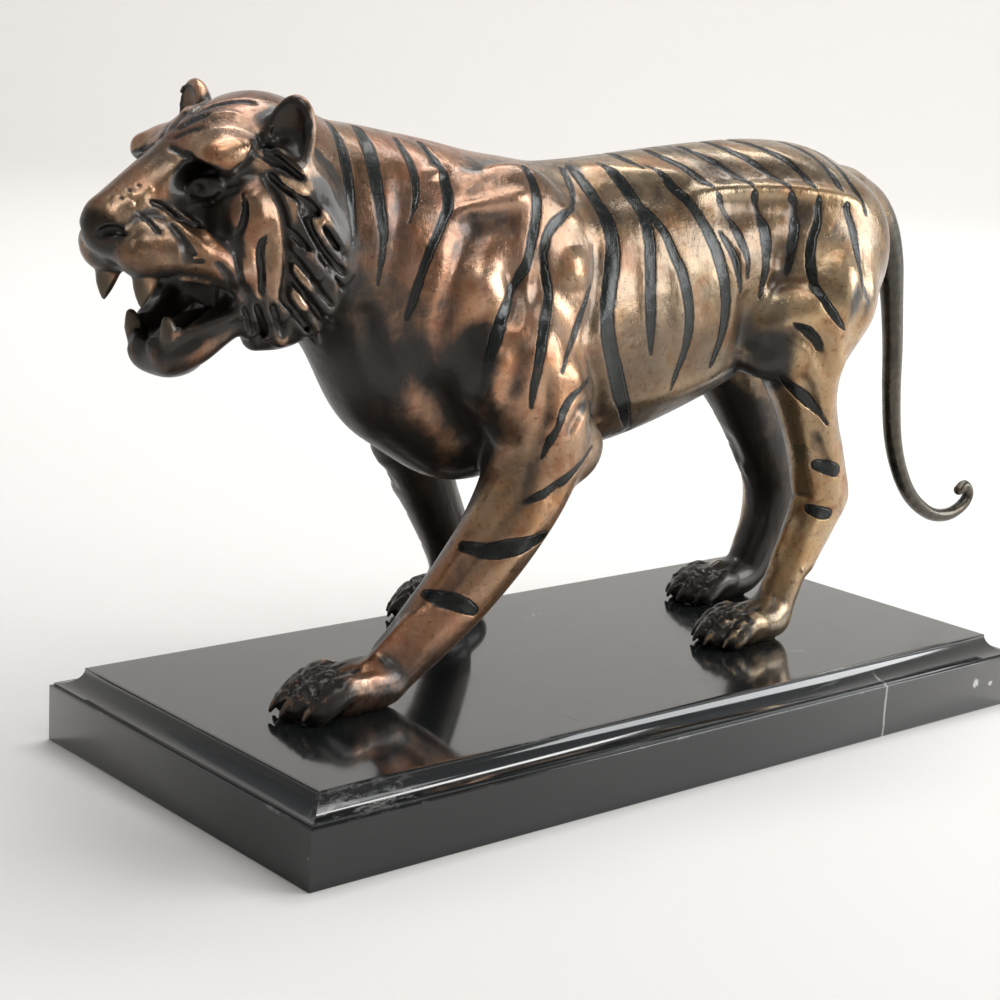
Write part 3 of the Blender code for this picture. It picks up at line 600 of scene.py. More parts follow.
def cast(uv):
    """Where the lines of sight through these picture points first meet the casting, and the depth there."""
    uv = np.asarray(uv, float)
    d = np.stack([(uv[:, 0] - CANVAS / 2) / FOCAL, (uv[:, 1] - CANVAS / 2) / FOCAL, np.ones(len(uv))], 1) @ EYE_AXES
    d /= np.linalg.norm(d, axis=1)[:, None]
    o = to_casting(EYE[None])[0]
    d = to_casting(EYE + d) - o
    t = np.full(len(uv), 560.0)
    for _ in range(400):
        v = read_grid(COARSE, COARSE_LO, COARSE_STEP, o + d * t[:, None])
        step = np.clip(v * 0.7, -1.0, 8.0)
        t = np.where((v > 0.02) & (t < 1300), t + np.maximum(step, 0.05), t)
    P = o + d * t[:, None]
    missed = t >= 1290
    return P, t * (d @ (to_casting(EYE + EYE_AXES[2]) - o)), missed


def settle(P, rounds=12):
    """Points moved onto the casting's surface."""
    P = np.array(P, float)
    for _ in range(rounds):
        v = read_grid(COARSE, COARSE_LO, COARSE_STEP, P)
        P = P - slope(COARSE, COARSE_LO, COARSE_STEP, P, 1.6) * np.clip(v, -3, 3)[:, None] * 0.8
    return P


def mirrored(P, head):
    """The same points on the other side of the body, or of the head, whose frame is turned."""
    if not head:
        return P * (1, -1, 1)
    q = (P - np.array(HEAD_AT)) @ HEAD_AXES
    return (q * (1, -1, 1)) @ HEAD_AXES.T + np.array(HEAD_AT)


class Press:
    """A soft furrow (depth over 0) or swelling (under 0) along a line on the surface."""

    def __init__(s, P, width, depth, taper=True, tip=0.15):
        s.P = np.asarray(P, float)
        m = len(s.P)
        t = np.linspace(0, 1, m)
        s.a = depth * (np.minimum(1, np.minimum(t, 1 - t) * 5 + tip) if taper and m > 1 else np.ones(m))
        s.width = width
        s.lo, s.hi = s.P.min(0) - 2.1 * width, s.P.max(0) + 2.1 * width

    def __call__(s, X, Y, Z):
        best = amp = None
        if len(s.P) == 1:
            best = (X - F(s.P[0, 0])) ** 2 + (Y - F(s.P[0, 1])) ** 2 + (Z - F(s.P[0, 2])) ** 2
            amp = F(s.a[0])
        for a, b, p, q in zip(s.P[:-1], s.P[1:], s.a[:-1], s.a[1:]):
            v = b - a
            L = max(float(v @ v), 1e-9)
            v = v.astype(F)
            x, y, z = X - F(a[0]), Y - F(a[1]), Z - F(a[2])
            t = np.clip((x * v[0] + y * v[1] + z * v[2]) / F(L), 0, 1)
            d = (x - t * v[0]) ** 2 + (y - t * v[1]) ** 2 + (z - t * v[2]) ** 2
            A = F(p) + t * F(q - p)
            if best is None:
                best, amp = d, A
            else:
                amp = np.where(d < best, A, amp)
                best = np.minimum(best, d)
        u = best / F(s.width ** 2)
        return amp * np.maximum(0, 1 - u / 4) ** 2 * np.exp(-u)


class Gnarl:
    """A knotted, uneven surface over an oval patch: crossed waves that fade towards its edge."""

    def __init__(s, c, r, height, wave, seed):
        s.c, s.r, s.height = np.asarray(c, float), np.asarray(r, float) * np.ones(3), height
        s.k = 2 * np.pi / wave
        s.seed = seed
        s.lo, s.hi = s.c - s.r, s.c + s.r

    def __call__(s, X, Y, Z):
        x, y, z = (v - F(c) for v, c in zip((X, Y, Z), s.c))
        u = (x / F(s.r[0])) ** 2 + (y / F(s.r[1])) ** 2 + (z / F(s.r[2])) ** 2
        k, q = F(s.k), F(s.seed)
        w = np.sin(k * (x + 0.6 * y) + q) * np.sin(k * (0.9 * y - 0.5 * x) + 2 * q + np.sin(k * 0.6 * z)) + 0.6 * np.sin(k * 1.7 * (z + 0.5 * x) + 3 * q) * np.sin(
            k * 1.5 * (x - y) + q)
        return F(s.height) * w * np.maximum(0, 1 - u) ** 1


def line_on_skin(px, n=4):
    """A smooth line of picture points laid on the surface, as (x, y, z) and millimetres for one picture pixel there."""
    uv = curve([p[:2] for p in px], n)
    P, depth, missed = cast(uv)
    P, depth = P[~missed], depth[~missed]
    return P, depth / FOCAL, ~missed


def relief(px, width, depth, head, both=True, n=3):
    """Furrows are laid a little under the surface, so that they bite deeper than they are wide."""
    P = line_on_skin(px, n)[0] if len(px) > 1 else cast(px)[0]
    out = []
    for Q in (P, settle(mirrored(P, head))) if both else (P,):
        if depth > 0 and width < 4:
            Q = Q - slope(COARSE, COARSE_LO, COARSE_STEP, Q, 1.6) * min(0.45 * depth, 0.9 * width)
        out.append(Press(Q, width, depth))
    return out


# Stripes: lines of (u, v, half width), all in picture pixels.
NECK_AND_BODY_STRIPES = [
    [(325, 118, 3), (338, 138, 5), (346, 165, 5), (350, 195, 5), (353, 225, 3.5), (354, 245, 1.5)],
    [(352, 122, 3), (366, 142, 7), (374, 170, 7), (380, 205, 6), (384, 235, 5), (382, 262, 3), (378, 285, 1.2)],
    [(395, 138, 2.5), (408, 158, 4), (415, 178, 4), (416, 200, 3), (410, 222, 1.5)],
    [(420, 143, 3), (434, 160, 5.5), (445, 182, 6.5), (448, 205, 5.5), (440, 228, 4.5), (430, 250, 4.5), (421, 275, 4), (413, 300, 4), (406, 318, 1.5)],
    [(516, 157, 3), (528, 172, 4), (536, 195, 5.5), (536, 218, 5.5), (532, 240, 5), (528, 262, 5.5), (518, 280, 5.5), (508, 300, 6),
     (501, 320, 6), (494, 342, 6), (488, 365, 5.5), (483, 390, 4), (480, 405, 1.2)],
    [(562, 168, 2), (569, 182, 3), (573, 196, 2.5), (572, 208, 3), (560, 218, 5), (549, 232, 5.5), (544, 252, 4.5), (546, 275, 4.5),
     (549, 295, 5), (546, 318, 5.5), (542, 345, 5.5), (538, 370, 5), (533, 395, 3.5), (531, 408, 1.2)],
    [(600, 268, 1.2), (594, 285, 3), (588, 300, 4), (580, 320, 4.5), (573, 338, 4.5), (567, 355, 3), (562, 372, 1.2)],
    [(570, 167, 4), (583, 182, 6), (596, 200, 7), (607, 220, 8), (613, 242, 8), (613, 265, 8.5), (610, 290, 9), (608, 315, 9),
     (609, 340, 9.5), (614, 365, 9), (619, 390, 8), (624, 412, 6), (628, 430, 2.5)],
    [(598, 165, 3), (612, 174, 6), (626, 187, 7), (638, 202, 7), (646, 222, 6.5), (650, 245, 6.5), (651, 270, 6.5), (651, 295, 6.5),
     (651, 318, 6), (651, 340, 4), (651, 354, 1.2)],
    [(636, 200, 4), (650, 214, 4.5), (664, 232, 4.5), (673, 252, 5), (682, 272, 6), (688, 295, 6.5), (690, 318, 6), (687, 342, 5), (681, 362, 4),
     (672, 382, 3), (664, 398, 1.2)],
    [(645, 167, 2), (658, 174, 4), (672, 186, 5), (688, 201, 5), (700, 218, 5.5), (712, 240, 6.5), (720, 262, 7), (725, 285, 6.5),
     (726, 310, 6), (722, 335, 5), (715, 355, 3.5), (708, 368, 1.2)],
    [(720, 232, 2), (732, 252, 4), (738, 272, 3.5), (742, 295, 1.2)],
    [(722, 204, 2.5), (732, 220, 4.5), (740, 240, 5), (746, 260, 4), (748, 278, 1.2)],
    [(756, 202, 4), (762, 218, 6), (766, 240, 6.5), (767, 262, 5.5), (763, 285, 3.5), (760, 298, 1.2)],
    [(796, 204, 4.5), (796, 220, 6), (793, 242, 5.5), (789, 262, 4), (784, 282, 1.2)],
    [(818, 202, 3), (818, 220, 4), (812, 240, 4.5), (810, 262, 4.5), (814, 285, 4.5), (824, 302, 4.5), (836, 318, 3.5), (845, 330, 1.2)],
    [(845, 208, 3), (852, 228, 4), (857, 250, 4.5), (862, 272, 4.5), (868, 292, 3.5), (870, 305, 1.2)],
    [(606, 152, 3), (625, 160, 4), (642, 170, 3)],
    [(640, 148, 2), (664, 158, 4), (690, 172, 4.5), (712, 190, 4), (722, 204, 3)],
    [(672, 144, 2), (700, 155, 3.5), (728, 168, 4), (748, 184, 4), (756, 200, 4)],
    [(697, 140, 2), (726, 149, 3.5), (756, 163, 4), (782, 182, 4), (794, 202, 4)],
    [(720, 138, 2), (752, 145, 3.5), (784, 158, 4), (806, 176, 4), (818, 200, 3.5)],
    [(750, 136, 2), (782, 142, 3.5), (812, 156, 3.5), (834, 178, 3.5), (846, 206, 3)],
    [(784, 141, 2), (810, 148, 3), (836, 166, 3.5), (856, 192, 3), (866, 214, 1.5)],
]
NEAR_LEG_STRIPES = [
    [(590, 380, 1.2), (576, 392, 3.5), (565, 408, 4.5), (556, 428, 4.5), (546, 448, 3), (541, 458, 1.2)],
    [(592, 447, 1.2), (580, 465, 3.5), (565, 480, 4.5), (548, 492, 4.5), (530, 500, 3.5), (520, 504, 1.2)],
    [(462, 546, 5), (490, 551, 8.5), (520, 546, 8.5), (544, 537, 6)],
    [(424, 593, 4), (440, 598, 7.5), (460, 604, 8.5), (474, 611, 5)],
    [(790, 320, 2.5), (806, 330, 5), (818, 345, 5.5), (825, 360, 1.5)],
    [(780, 378, 2), (792, 388, 5), (806, 400, 6), (818, 412, 4), (828, 425, 1.2)],
    [(816, 465, 5), (828, 468, 7), (836, 471, 6)],
    [(806, 508, 3.5), (817, 512, 6), (828, 514, 5)],
]
FACE_STRIPES = [
    [(243, 194, 1.2), (246, 208, 2.4), (243, 224, 2.6), (236, 238, 1.4)],
    [(266, 236, 1.0), (260, 255, 2.4), (262, 275, 2.6), (262, 294, 1.2)],
    [(198, 113, 1.0), (214, 105, 2.4), (232, 101, 1.2)],
    [(178, 128, 1.0), (192, 119, 2.0), (206, 113, 1.0)],
]
# Bands round the far legs, which the photograph shows only dimly: share of the way along, half width in mm.
FAR_FORE_BANDS = [(0.30, 3.4), (0.46, 3.2), (0.60, 3.4), (0.76, 3.0)]
FAR_HIND_BANDS = [(0.24, 3.6), (0.38, 3.4), (0.52, 3.0), (0.66, 3.0)]


def bands(limb_points, shares, outward, half_angle, n=9):
    """Half rings, or rings, round a limb on its outward side, laid on the surface."""
    C = curve(limb_points, 12)
    run = np.r_[0, np.cumsum(np.linalg.norm(np.diff(C[:, :3], axis=0), axis=1))]
    out = []
    for share, w in shares:
        i = min(int(np.searchsorted(run, share * run[-1])), len(C) - 2)
        c, r = C[i, :3], C[i, 3]
        d = C[i + 1, :3] - C[i - 1, :3]
        d /= np.linalg.norm(d)
        o = np.array(outward, float)
        o -= (o @ d) * d
        o /= np.linalg.norm(o)
        s = np.cross(d, o)
        a = np.radians(np.linspace(-half_angle, half_angle, n if half_angle < 180 else 17))
        P = c + r * (np.cos(a)[:, None] * o + np.sin(a)[:, None] * s) + d * (1.2 * np.sin(a * 1.7 + share * 9))[:, None]
        fade = np.ones(len(a)) if half_angle >= 180 else np.sqrt(np.clip(1.05 - (a / a.max()) ** 2, 0, 1))
        out.append((settle(P), w * fade))
    return out


def stripe_lines():
    """Every stripe as points on the surface with their half widths in mm."""
    out = []
    for group, other, head in ((NECK_AND_BODY_STRIPES, True, False), (NEAR_LEG_STRIPES, False, False), (FACE_STRIPES, True, True)):
        for px in group:
            c = curve(px, 4)
            P, scale, ok = cast(c[:, :2])[0], None, None
            P, depth, missed = cast(c[:, :2])
            P, w = P[~missed], (c[:, 2] * depth / FOCAL)[~missed]
            if len(P) < 2:
                continue
            # a line of sight that slips past a fold lands far from its neighbours
            hop = np.linalg.norm(np.diff(P, axis=0), axis=1)
            cutat = np.flatnonzero(hop > 14)
            if len(cutat):
                parts = np.split(np.arange(len(P)), cutat + 1)
                best = max(parts, key=len)
                P, w = P[best], w[best]
            if len(P) < 2:
                continue
            out.append((P, w))
            if other:
                out.append((settle(mirrored(P, head)), w))
    out += bands(FAR_FORE, FAR_FORE_BANDS, (0, 1, 0), 80)
    out += bands(FAR_HIND, FAR_HIND_BANDS, (0.2, 1, 0), 80)
    return out


def stripe_distance(lines, P, reach=6.0):
    """Signed distance in mm to the nearest stripe's edge, under 0 inside it."""
    out = np.full(len(P), reach)
    for C, w in lines:
        lo, hi = C.min(0) - w.max() - reach, C.max(0) + w.max() + reach
        near = np.flatnonzero(((P > lo) & (P < hi)).all(1))
        if not len(near):
            continue
        p = P[near]
        best = np.full(len(p), reach)
        for a, b, r, q in zip(C[:-1], C[1:], w[:-1], w[1:]):
            v = b - a
            L = max(v @ v, 1e-9)
            t = np.clip(((p - a) @ v) / L, 0, 1)
            d = np.linalg.norm(p - a - t[:, None] * v, axis=1) - (r + t * (q - r))
            best = np.minimum(best, d)
        out[near] = np.minimum(out[near], best)
    return out


# ---- relief that the photograph shows, as lines of picture points ----
# (points, width mm, depth mm): depth under 0 stands proud.
BODY_RELIEF = [
    # shoulder: the blade's ridge, hollows about it, its point, the upper arm
    ([(450, 214), (480, 205), (510, 199), (530, 196)], 4.5, -2.6), ([(468, 232), (498, 224), (520, 226)], 7, 3.0),
    ([(484, 288)], 12, -3.8), ([(468, 268), (500, 306)], 6, -1.6), ([(508, 258), (516, 300), (510, 330)], 5, 2.4),
    ([(570, 246), (576, 290)], 8, -3.2), ([(541, 245), (538, 300), (530, 350)], 4, 2.0), ([(600, 240), (598, 290), (586, 345)], 5, 2.6),
    ([(560, 212), (584, 226)], 5, -1.6), ([(466, 200), (470, 240), (452, 290), (440, 340)], 6, 2.2), ([(498, 345), (490, 385), (470, 415)], 8, -2.0),
    ([(440, 236), (436, 280), (424, 330)], 7, -1.4), ([(520, 330), (516, 372), (505, 402)], 5, 1.8),
    ([(574, 376)], 7, -2.4), ([(560, 410), (546, 446)], 5, -2.0), ([(588, 396), (566, 440)], 3.2, 1.9), ([(548, 372), (546, 420), (530, 460)], 4, 1.8),
    ([(588, 350), (600, 392), (598, 430)], 4, 1.6),
    # neck
    ([(398, 160), (402, 200), (396, 250), (386, 300)], 5, 1.6), ([(366, 300), (372, 345), (392, 385)], 6, 1.6), ([(420, 380), (445, 420), (470, 445)], 7, 1.4),
    ([(430, 165), (440, 180)], 7, -1.6),
    # ribs and belly
    ([(637, 240), (636, 330)], 6, 1.1), ([(668, 250), (668, 340)], 6, 1.1), ([(700, 262), (702, 330)], 6, 1.0), ([(610, 404), (650, 398), (700, 380), (735, 362)], 9, -1.8),
    ([(600, 200), (640, 196), (690, 200)], 7, 1.4), ([(580, 168), (640, 172), (690, 176)], 6, -1.4),
    # hip: the ridge of the loin, the fold of the flank, the stifle
    ([(684, 196), (726, 190), (780, 190), (830, 195), (864, 206)], 4.2, -3.2), ([(716, 214), (768, 210), (815, 213)], 7, 2.4),
    ([(700, 172), (760, 170), (820, 176)], 8, 1.4), ([(803, 308)], 11, -4.0), ([(768, 287), (798, 281), (826, 291)], 4, 2.4),
    ([(783, 330), (803, 336), (819, 352), (828, 378)], 4, 2.4), ([(750, 290), (746, 325), (752, 352)], 6, 3.6), ([(768, 347)], 8, 4.4),
    ([(788, 240), (778, 270)], 7, 2.2), ([(745, 240), (742, 275)], 6, -1.6), ([(835, 250), (850, 280), (848, 320)], 6, -1.8),
    ([(866, 250), (866, 300), (848, 345)], 5, 1.8), ([(842, 345), (838, 380)], 5, -1.6), ([(800, 372), (812, 400), (822, 430)], 4, 1.6),
    ([(812, 428), (830, 478)], 3, 1.8), ([(800, 470), (798, 520), (782, 570)], 4, 1.2), ([(820, 500), (806, 545)], 3, -1.0),
    # fore leg
    ([(536, 452), (520, 500), (470, 560), (430, 610)], 3.4, 1.5), ([(500, 470), (470, 530)], 6, -1.8), ([(545, 510), (500, 580)], 4, -1.0),
    ([(424, 606), (404, 624), (382, 646), (358, 672)], 2.6, -2.0), ([(344, 679), (362, 680), (380, 676)], 2.0, -1.5),
    ([(352, 664), (378, 636), (400, 615)], 4.0, 1.8), ([(416, 640), (398, 668)], 6, 1.0), ([(560, 478), (550, 510)], 4, 1.4),
    ([(770, 566), (782, 540), (792, 515)], 3, -1.4), ([(762, 590), (768, 575)], 3, -1.0),
]
HEAD_RELIEF = [
    # forehead
    ([(189, 118), (215, 105), (243, 101), (258, 104)], 1.5, 1.3), ([(174, 131), (198, 118), (224, 111)], 1.4, 1.2),
    ([(170, 140), (186, 132), (204, 127)], 1.3, 0.9), ([(150, 128), (165, 118), (182, 110)], 1.4, 0.9),
    ([(206, 116), (226, 113), (244, 118)], 2.2, -1.2),
    # brow: its swelling, the crease under its outer end
    ([(200, 148), (226, 152), (246, 146)], 5.0, -1.8), ([(256, 140), (253, 152), (244, 165), (232, 171)], 1.3, 2.0),
    ([(262, 136), (262, 148), (256, 158)], 1.2, 1.6), ([(168, 146), (180, 152), (196, 160)], 1.4, 1.2),
    # under the eye
    ([(224, 186), (232, 184), (241, 182)], 1.1, 1.4), ([(214, 196), (226, 194), (240, 188)], 1.2, 1.3), ([(196, 205), (210, 203), (222, 198)], 1.3, 1.4),
    # snarl
    ([(149, 201), (158, 204), (168, 210), (182, 221)], 0.85, 2.2), ([(139, 214), (147, 219), (154, 227), (161, 236)], 0.8, 2.0),
    ([(158, 209), (178, 226), (195, 240), (208, 252)], 2.0, -1.5), ([(184, 238), (192, 251), (203, 262)], 0.9, 1.8),
    ([(168, 206), (186, 218), (204, 232), (214, 244)], 1.6, -1.0), ([(184, 215), (200, 228), (214, 240)], 0.9, 1.8),
    ([(188, 259), (197, 262), (207, 262)], 0.8, 1.2), ([(170, 222), (180, 234), (186, 250), (188, 268)], 2.2, 1.5),
    ([(146, 246)], 5.0, -0.9), ([(132, 200), (150, 192)], 3.5, -0.8),
    # cheek
    ([(244, 194), (245, 208), (243, 224), (235, 240)], 1.1, 2.2), ([(264, 238), (260, 250), (262, 272), (259, 296)], 1.1, 2.4),
    ([(247, 240), (251, 262), (254, 285), (258, 300)], 1.6, -1.4), ([(236, 252), (240, 275), (244, 292)], 1.1, 1.6),
    ([(252, 190), (258, 205), (262, 228)], 4.0, -1.4), ([(225, 205), (222, 222), (226, 240)], 3.5, 1.0), ([(270, 232), (274, 262), (272, 292)], 1.8, -1.4),
    ([(244, 262), (248, 285)], 1.2, -1.0), ([(214, 262), (222, 268), (230, 280), (233, 298)], 1.4, 1.4),
    # jaw
    ([(196, 322), (180, 333), (166, 338)], 1.0, -0.9), ([(200, 336), (182, 348), (165, 350)], 2.2, 1.0), ([(150, 345), (158, 362)], 3.0, -0.8),
    # ear root
    ([(252, 139), (258, 146), (268, 158), (282, 166)], 1.5, 2.0), ([(262, 128), (275, 146), (290, 160), (306, 176)], 1.9, -1.6),
    # ruff
    ([(262, 152), (276, 158), (290, 168), (305, 180)], 1.5, 4.0), ([(268, 172), (284, 186), (300, 197), (318, 212), (334, 230)], 1.6, 4.4),
    ([(264, 178), (277, 196), (285, 215), (288, 240), (288, 275), (284, 304)], 1.9, 5.2),
    ([(296, 190), (308, 206), (318, 224), (330, 240), (347, 256)], 1.4, 4.0), ([(300, 205), (310, 224), (318, 240), (334, 262), (347, 277)], 1.5, 4.2),
    ([(288, 228), (300, 240), (314, 258), (330, 276), (345, 292)], 1.5, 4.2), ([(289, 250), (303, 268), (318, 290), (335, 310)], 1.5, 4.2),
    ([(287, 272), (300, 288), (314, 306), (331, 328)], 1.5, 4.2), ([(280, 292), (292, 308), (304, 324), (317, 343)], 1.5, 4.0),
    ([(272, 304), (278, 322), (288, 347)], 1.4, 3.6), ([(256, 304), (262, 322), (268, 343)], 1.4, 3.2), ([(243, 306), (248, 320), (254, 339)], 1.2, 2.4),
    ([(318, 208), (334, 232), (347, 252)], 2.0, -2.0), ([(310, 214), (326, 244), (343, 266)], 2.0, -2.0), ([(304, 248), (322, 270), (339, 290)], 2.0, -2.0),
    ([(300, 272), (316, 296), (335, 320)], 2.0, -2.0), ([(292, 262), (306, 286)], 1.6, -1.4), ([(268, 268), (272, 288), (276, 300)], 2.0, -1.2),
    ([(276, 176), (292, 188), (308, 198)], 1.6, -1.6), ([(272, 210), (278, 240), (276, 275)], 2.4, -1.6), ([(294, 292), (308, 314), (322, 336)], 1.8, -1.6),
    ([(324, 226), (338, 244)], 0.8, 1.2), ([(312, 250), (330, 270)], 0.8, 1.2), ([(306, 268), (322, 290)], 0.8, 1.2), ([(272, 220), (276, 250)], 0.8, 1.0),
    ([(284, 180), (302, 192)], 0.8, 1.0), ([(306, 300), (322, 322)], 0.8, 1.2), ([(334, 236), (346, 262)], 0.8, 1.0),
    # pores of the muzzle
    ([(121, 198)], 0.8, 0.8), ([(129, 191)], 0.8, 0.9), ([(134, 196)], 0.9, 1.0), ([(138, 186)], 0.8, 0.8), ([(147, 182)], 0.7, 0.7), ([(144, 192)], 0.8, 0.8),
    ([(132, 204)], 0.7, 0.7), ([(126, 208)], 0.7, 0.6), ([(152, 190)], 0.7, 0.6), ([(142, 201)], 0.7, 0.7),
    ([(134, 243)], 0.9, 1.0), ([(143, 240)], 0.8, 0.9), ([(150, 242)], 0.8, 1.0), ([(157, 245)], 0.8, 0.8), ([(133, 250)], 0.8, 0.8),
    ([(146, 250)], 0.8, 0.8), ([(141, 253)], 0.8, 0.7), ([(155, 253)], 0.7, 0.7), ([(138, 261)], 0.7, 0.6), ([(164, 249)], 0.7, 0.6),
]


def smooth(x, a, b):
    t = np.clip((np.asarray(x, float) - a) / (b - a), 0, 1)
    return t * t * (3 - 2 * t)


def cast_skin():
    """The casting's skin in millimetres, with the field that its finish reads at each vertex."""
    marks = []
    for px, width, depth in BODY_RELIEF:
        marks += relief(px, width, depth, False)
    for px, width, depth in HEAD_RELIEF:
        marks += relief(px, width, depth, True)
    for i, (cx, cy, angle, size) in enumerate(PAWS.values()):
        M = turned(angle)

        def at(a, b, c):
            v = M @ np.array([-a, b, 0.0]) * size
            return (cx + v[0], cy + v[1], PLINTH_HEIGHT + c * size)

        marks.append(Gnarl(at(13, 0, 9), np.array((17, 17, 13)) * size, 0.75, 5.6, 1.3 * i))
        marks.append(Gnarl(at(16, 0, 8), np.array((15, 17, 12)) * size, 0.45, 3.1, 0.7 + i))
        for toe in range(4):
            b = (toe - 1.5) * 2 * TOE_SPREAD
            a = 14.5 if toe in (1, 2) else 9
            marks.append(Press([at(a + 1, b * 1.06 - 3.2, 14.5), at(a + 2.2, b * 1.08, 16.2), at(a + 1, b * 1.1 + 3.2, 14.5)], 1.2, 1.9))
            marks.append(Press([at(a + 7.5, b * 1.1 - 3.2, 9), at(a + 8.5, b * 1.12, 10.5), at(a + 7.5, b * 1.14 + 3.2, 9)], 1.0, 1.6))
            marks.append(Press([at(a - 5, b * 0.92, 17.6)], 2.6, -0.9))
        for b in (-7.2, 0.0, 7.2):
            marks.append(Press([at(-4, b * 0.8, 18.5), at(6, b, 16.5), at(14, b * 1.1, 11.5), at(18, b * 1.15, 6.0)], 1.1, 2.2))
    floor_z = PLINTH_HEIGHT + 0.3
    lo = COARSE_LO.copy()
    lo[2] = floor_z - 4.5 * SKIN_STEP
    n = np.ceil((COARSE_HI - lo) / SKIN_STEP).astype(int) + 1
    D = fine_field(FORMS, marks, COARSE, COARSE_LO, COARSE_STEP, lo, n, SKIN_STEP)
    z = (lo[2] + SKIN_STEP * np.arange(n[2])).astype(F)[None, None, :]
    D = np.maximum(D, F(floor_z) - z)
    for name, (cx, cy, _, _) in PAWS.items():
        at = (cx + (4 if name.endswith("fore") else 2), cy)
        x = (lo[0] + SKIN_STEP * np.arange(n[0])).astype(F)[:, None, None] - F(at[0])
        y = (lo[1] + SKIN_STEP * np.arange(n[1])).astype(F)[None, :, None] - F(at[1])
        D = np.maximum(D, -np.maximum(np.sqrt(x * x + y * y) - F(HOLE_RADIUS + 0.5), z - F(floor_z + HOLE_TOP_IN_PAW)))
    points, quads = kept_pieces(*skin(D, lo, SKIN_STEP))
    return D, lo, points, quads


def normals_of(points, quads):
    a = points[quads[:, 2]] - points[quads[:, 0]]
    b = points[quads[:, 3]] - points[quads[:, 1]]
    fn = np.cross(a, b)
    n = np.zeros_like(points)
    for i in range(4):
        np.add.at(n, quads[:, i], fn)
    return n / (np.linalg.norm(n, axis=1)[:, None] + 1e-12)


def form_mask(keep, P, soft=0.5, grow=0.3):
    """1 inside or on these forms, 0 clear of them."""
    out = np.zeros(len(P))
    for form in keep:
        near = np.flatnonzero(((P > form.lo - 3) & (P < form.hi + 3)).all(1))
        if len(near):
            p = P[near].astype(F)
            v = form(p[:, 0], p[:, 1], p[:, 2])
            out[near] = np.maximum(out[near], 1 - smooth(v, grow, grow + soft))
    return out


def mesh_from(name, points, faces):
    mesh = bpy.data.meshes.new(name)
    mesh.vertices.add(len(points))
    mesh.vertices.foreach_set("co", np.ascontiguousarray(points, dtype=np.float32).ravel())
    k = faces.shape[1]
    mesh.loops.add(faces.size)
    mesh.polygons.add(len(faces))
    mesh.loops.foreach_set("vertex_index", faces.astype(np.int32).ravel())
    mesh.polygons.foreach_set("loop_start", np.arange(0, faces.size, k, dtype=np.int32))
    mesh.update(calc_edges=True)
    mesh.validate()
    return mesh


def link(name, mesh):
    obj = bpy.data.objects.new(name, mesh)
    bpy.context.scene.collection.objects.link(obj)
    return obj


def baked(obj):
    """The object's mesh with its modifiers applied."""
    dg = bpy.context.evaluated_depsgraph_get()
    mesh = bpy.data.meshes.new_from_object(obj.evaluated_get(dg))
    old = obj.data
    obj.modifiers.clear()
    obj.data = mesh
    bpy.data.meshes.remove(old)
    return obj


def put(mesh, name, values):
    a = mesh.attributes.new(name, "FLOAT", "POINT")
    a.data.foreach_set("value", np.asarray(values, np.float32))


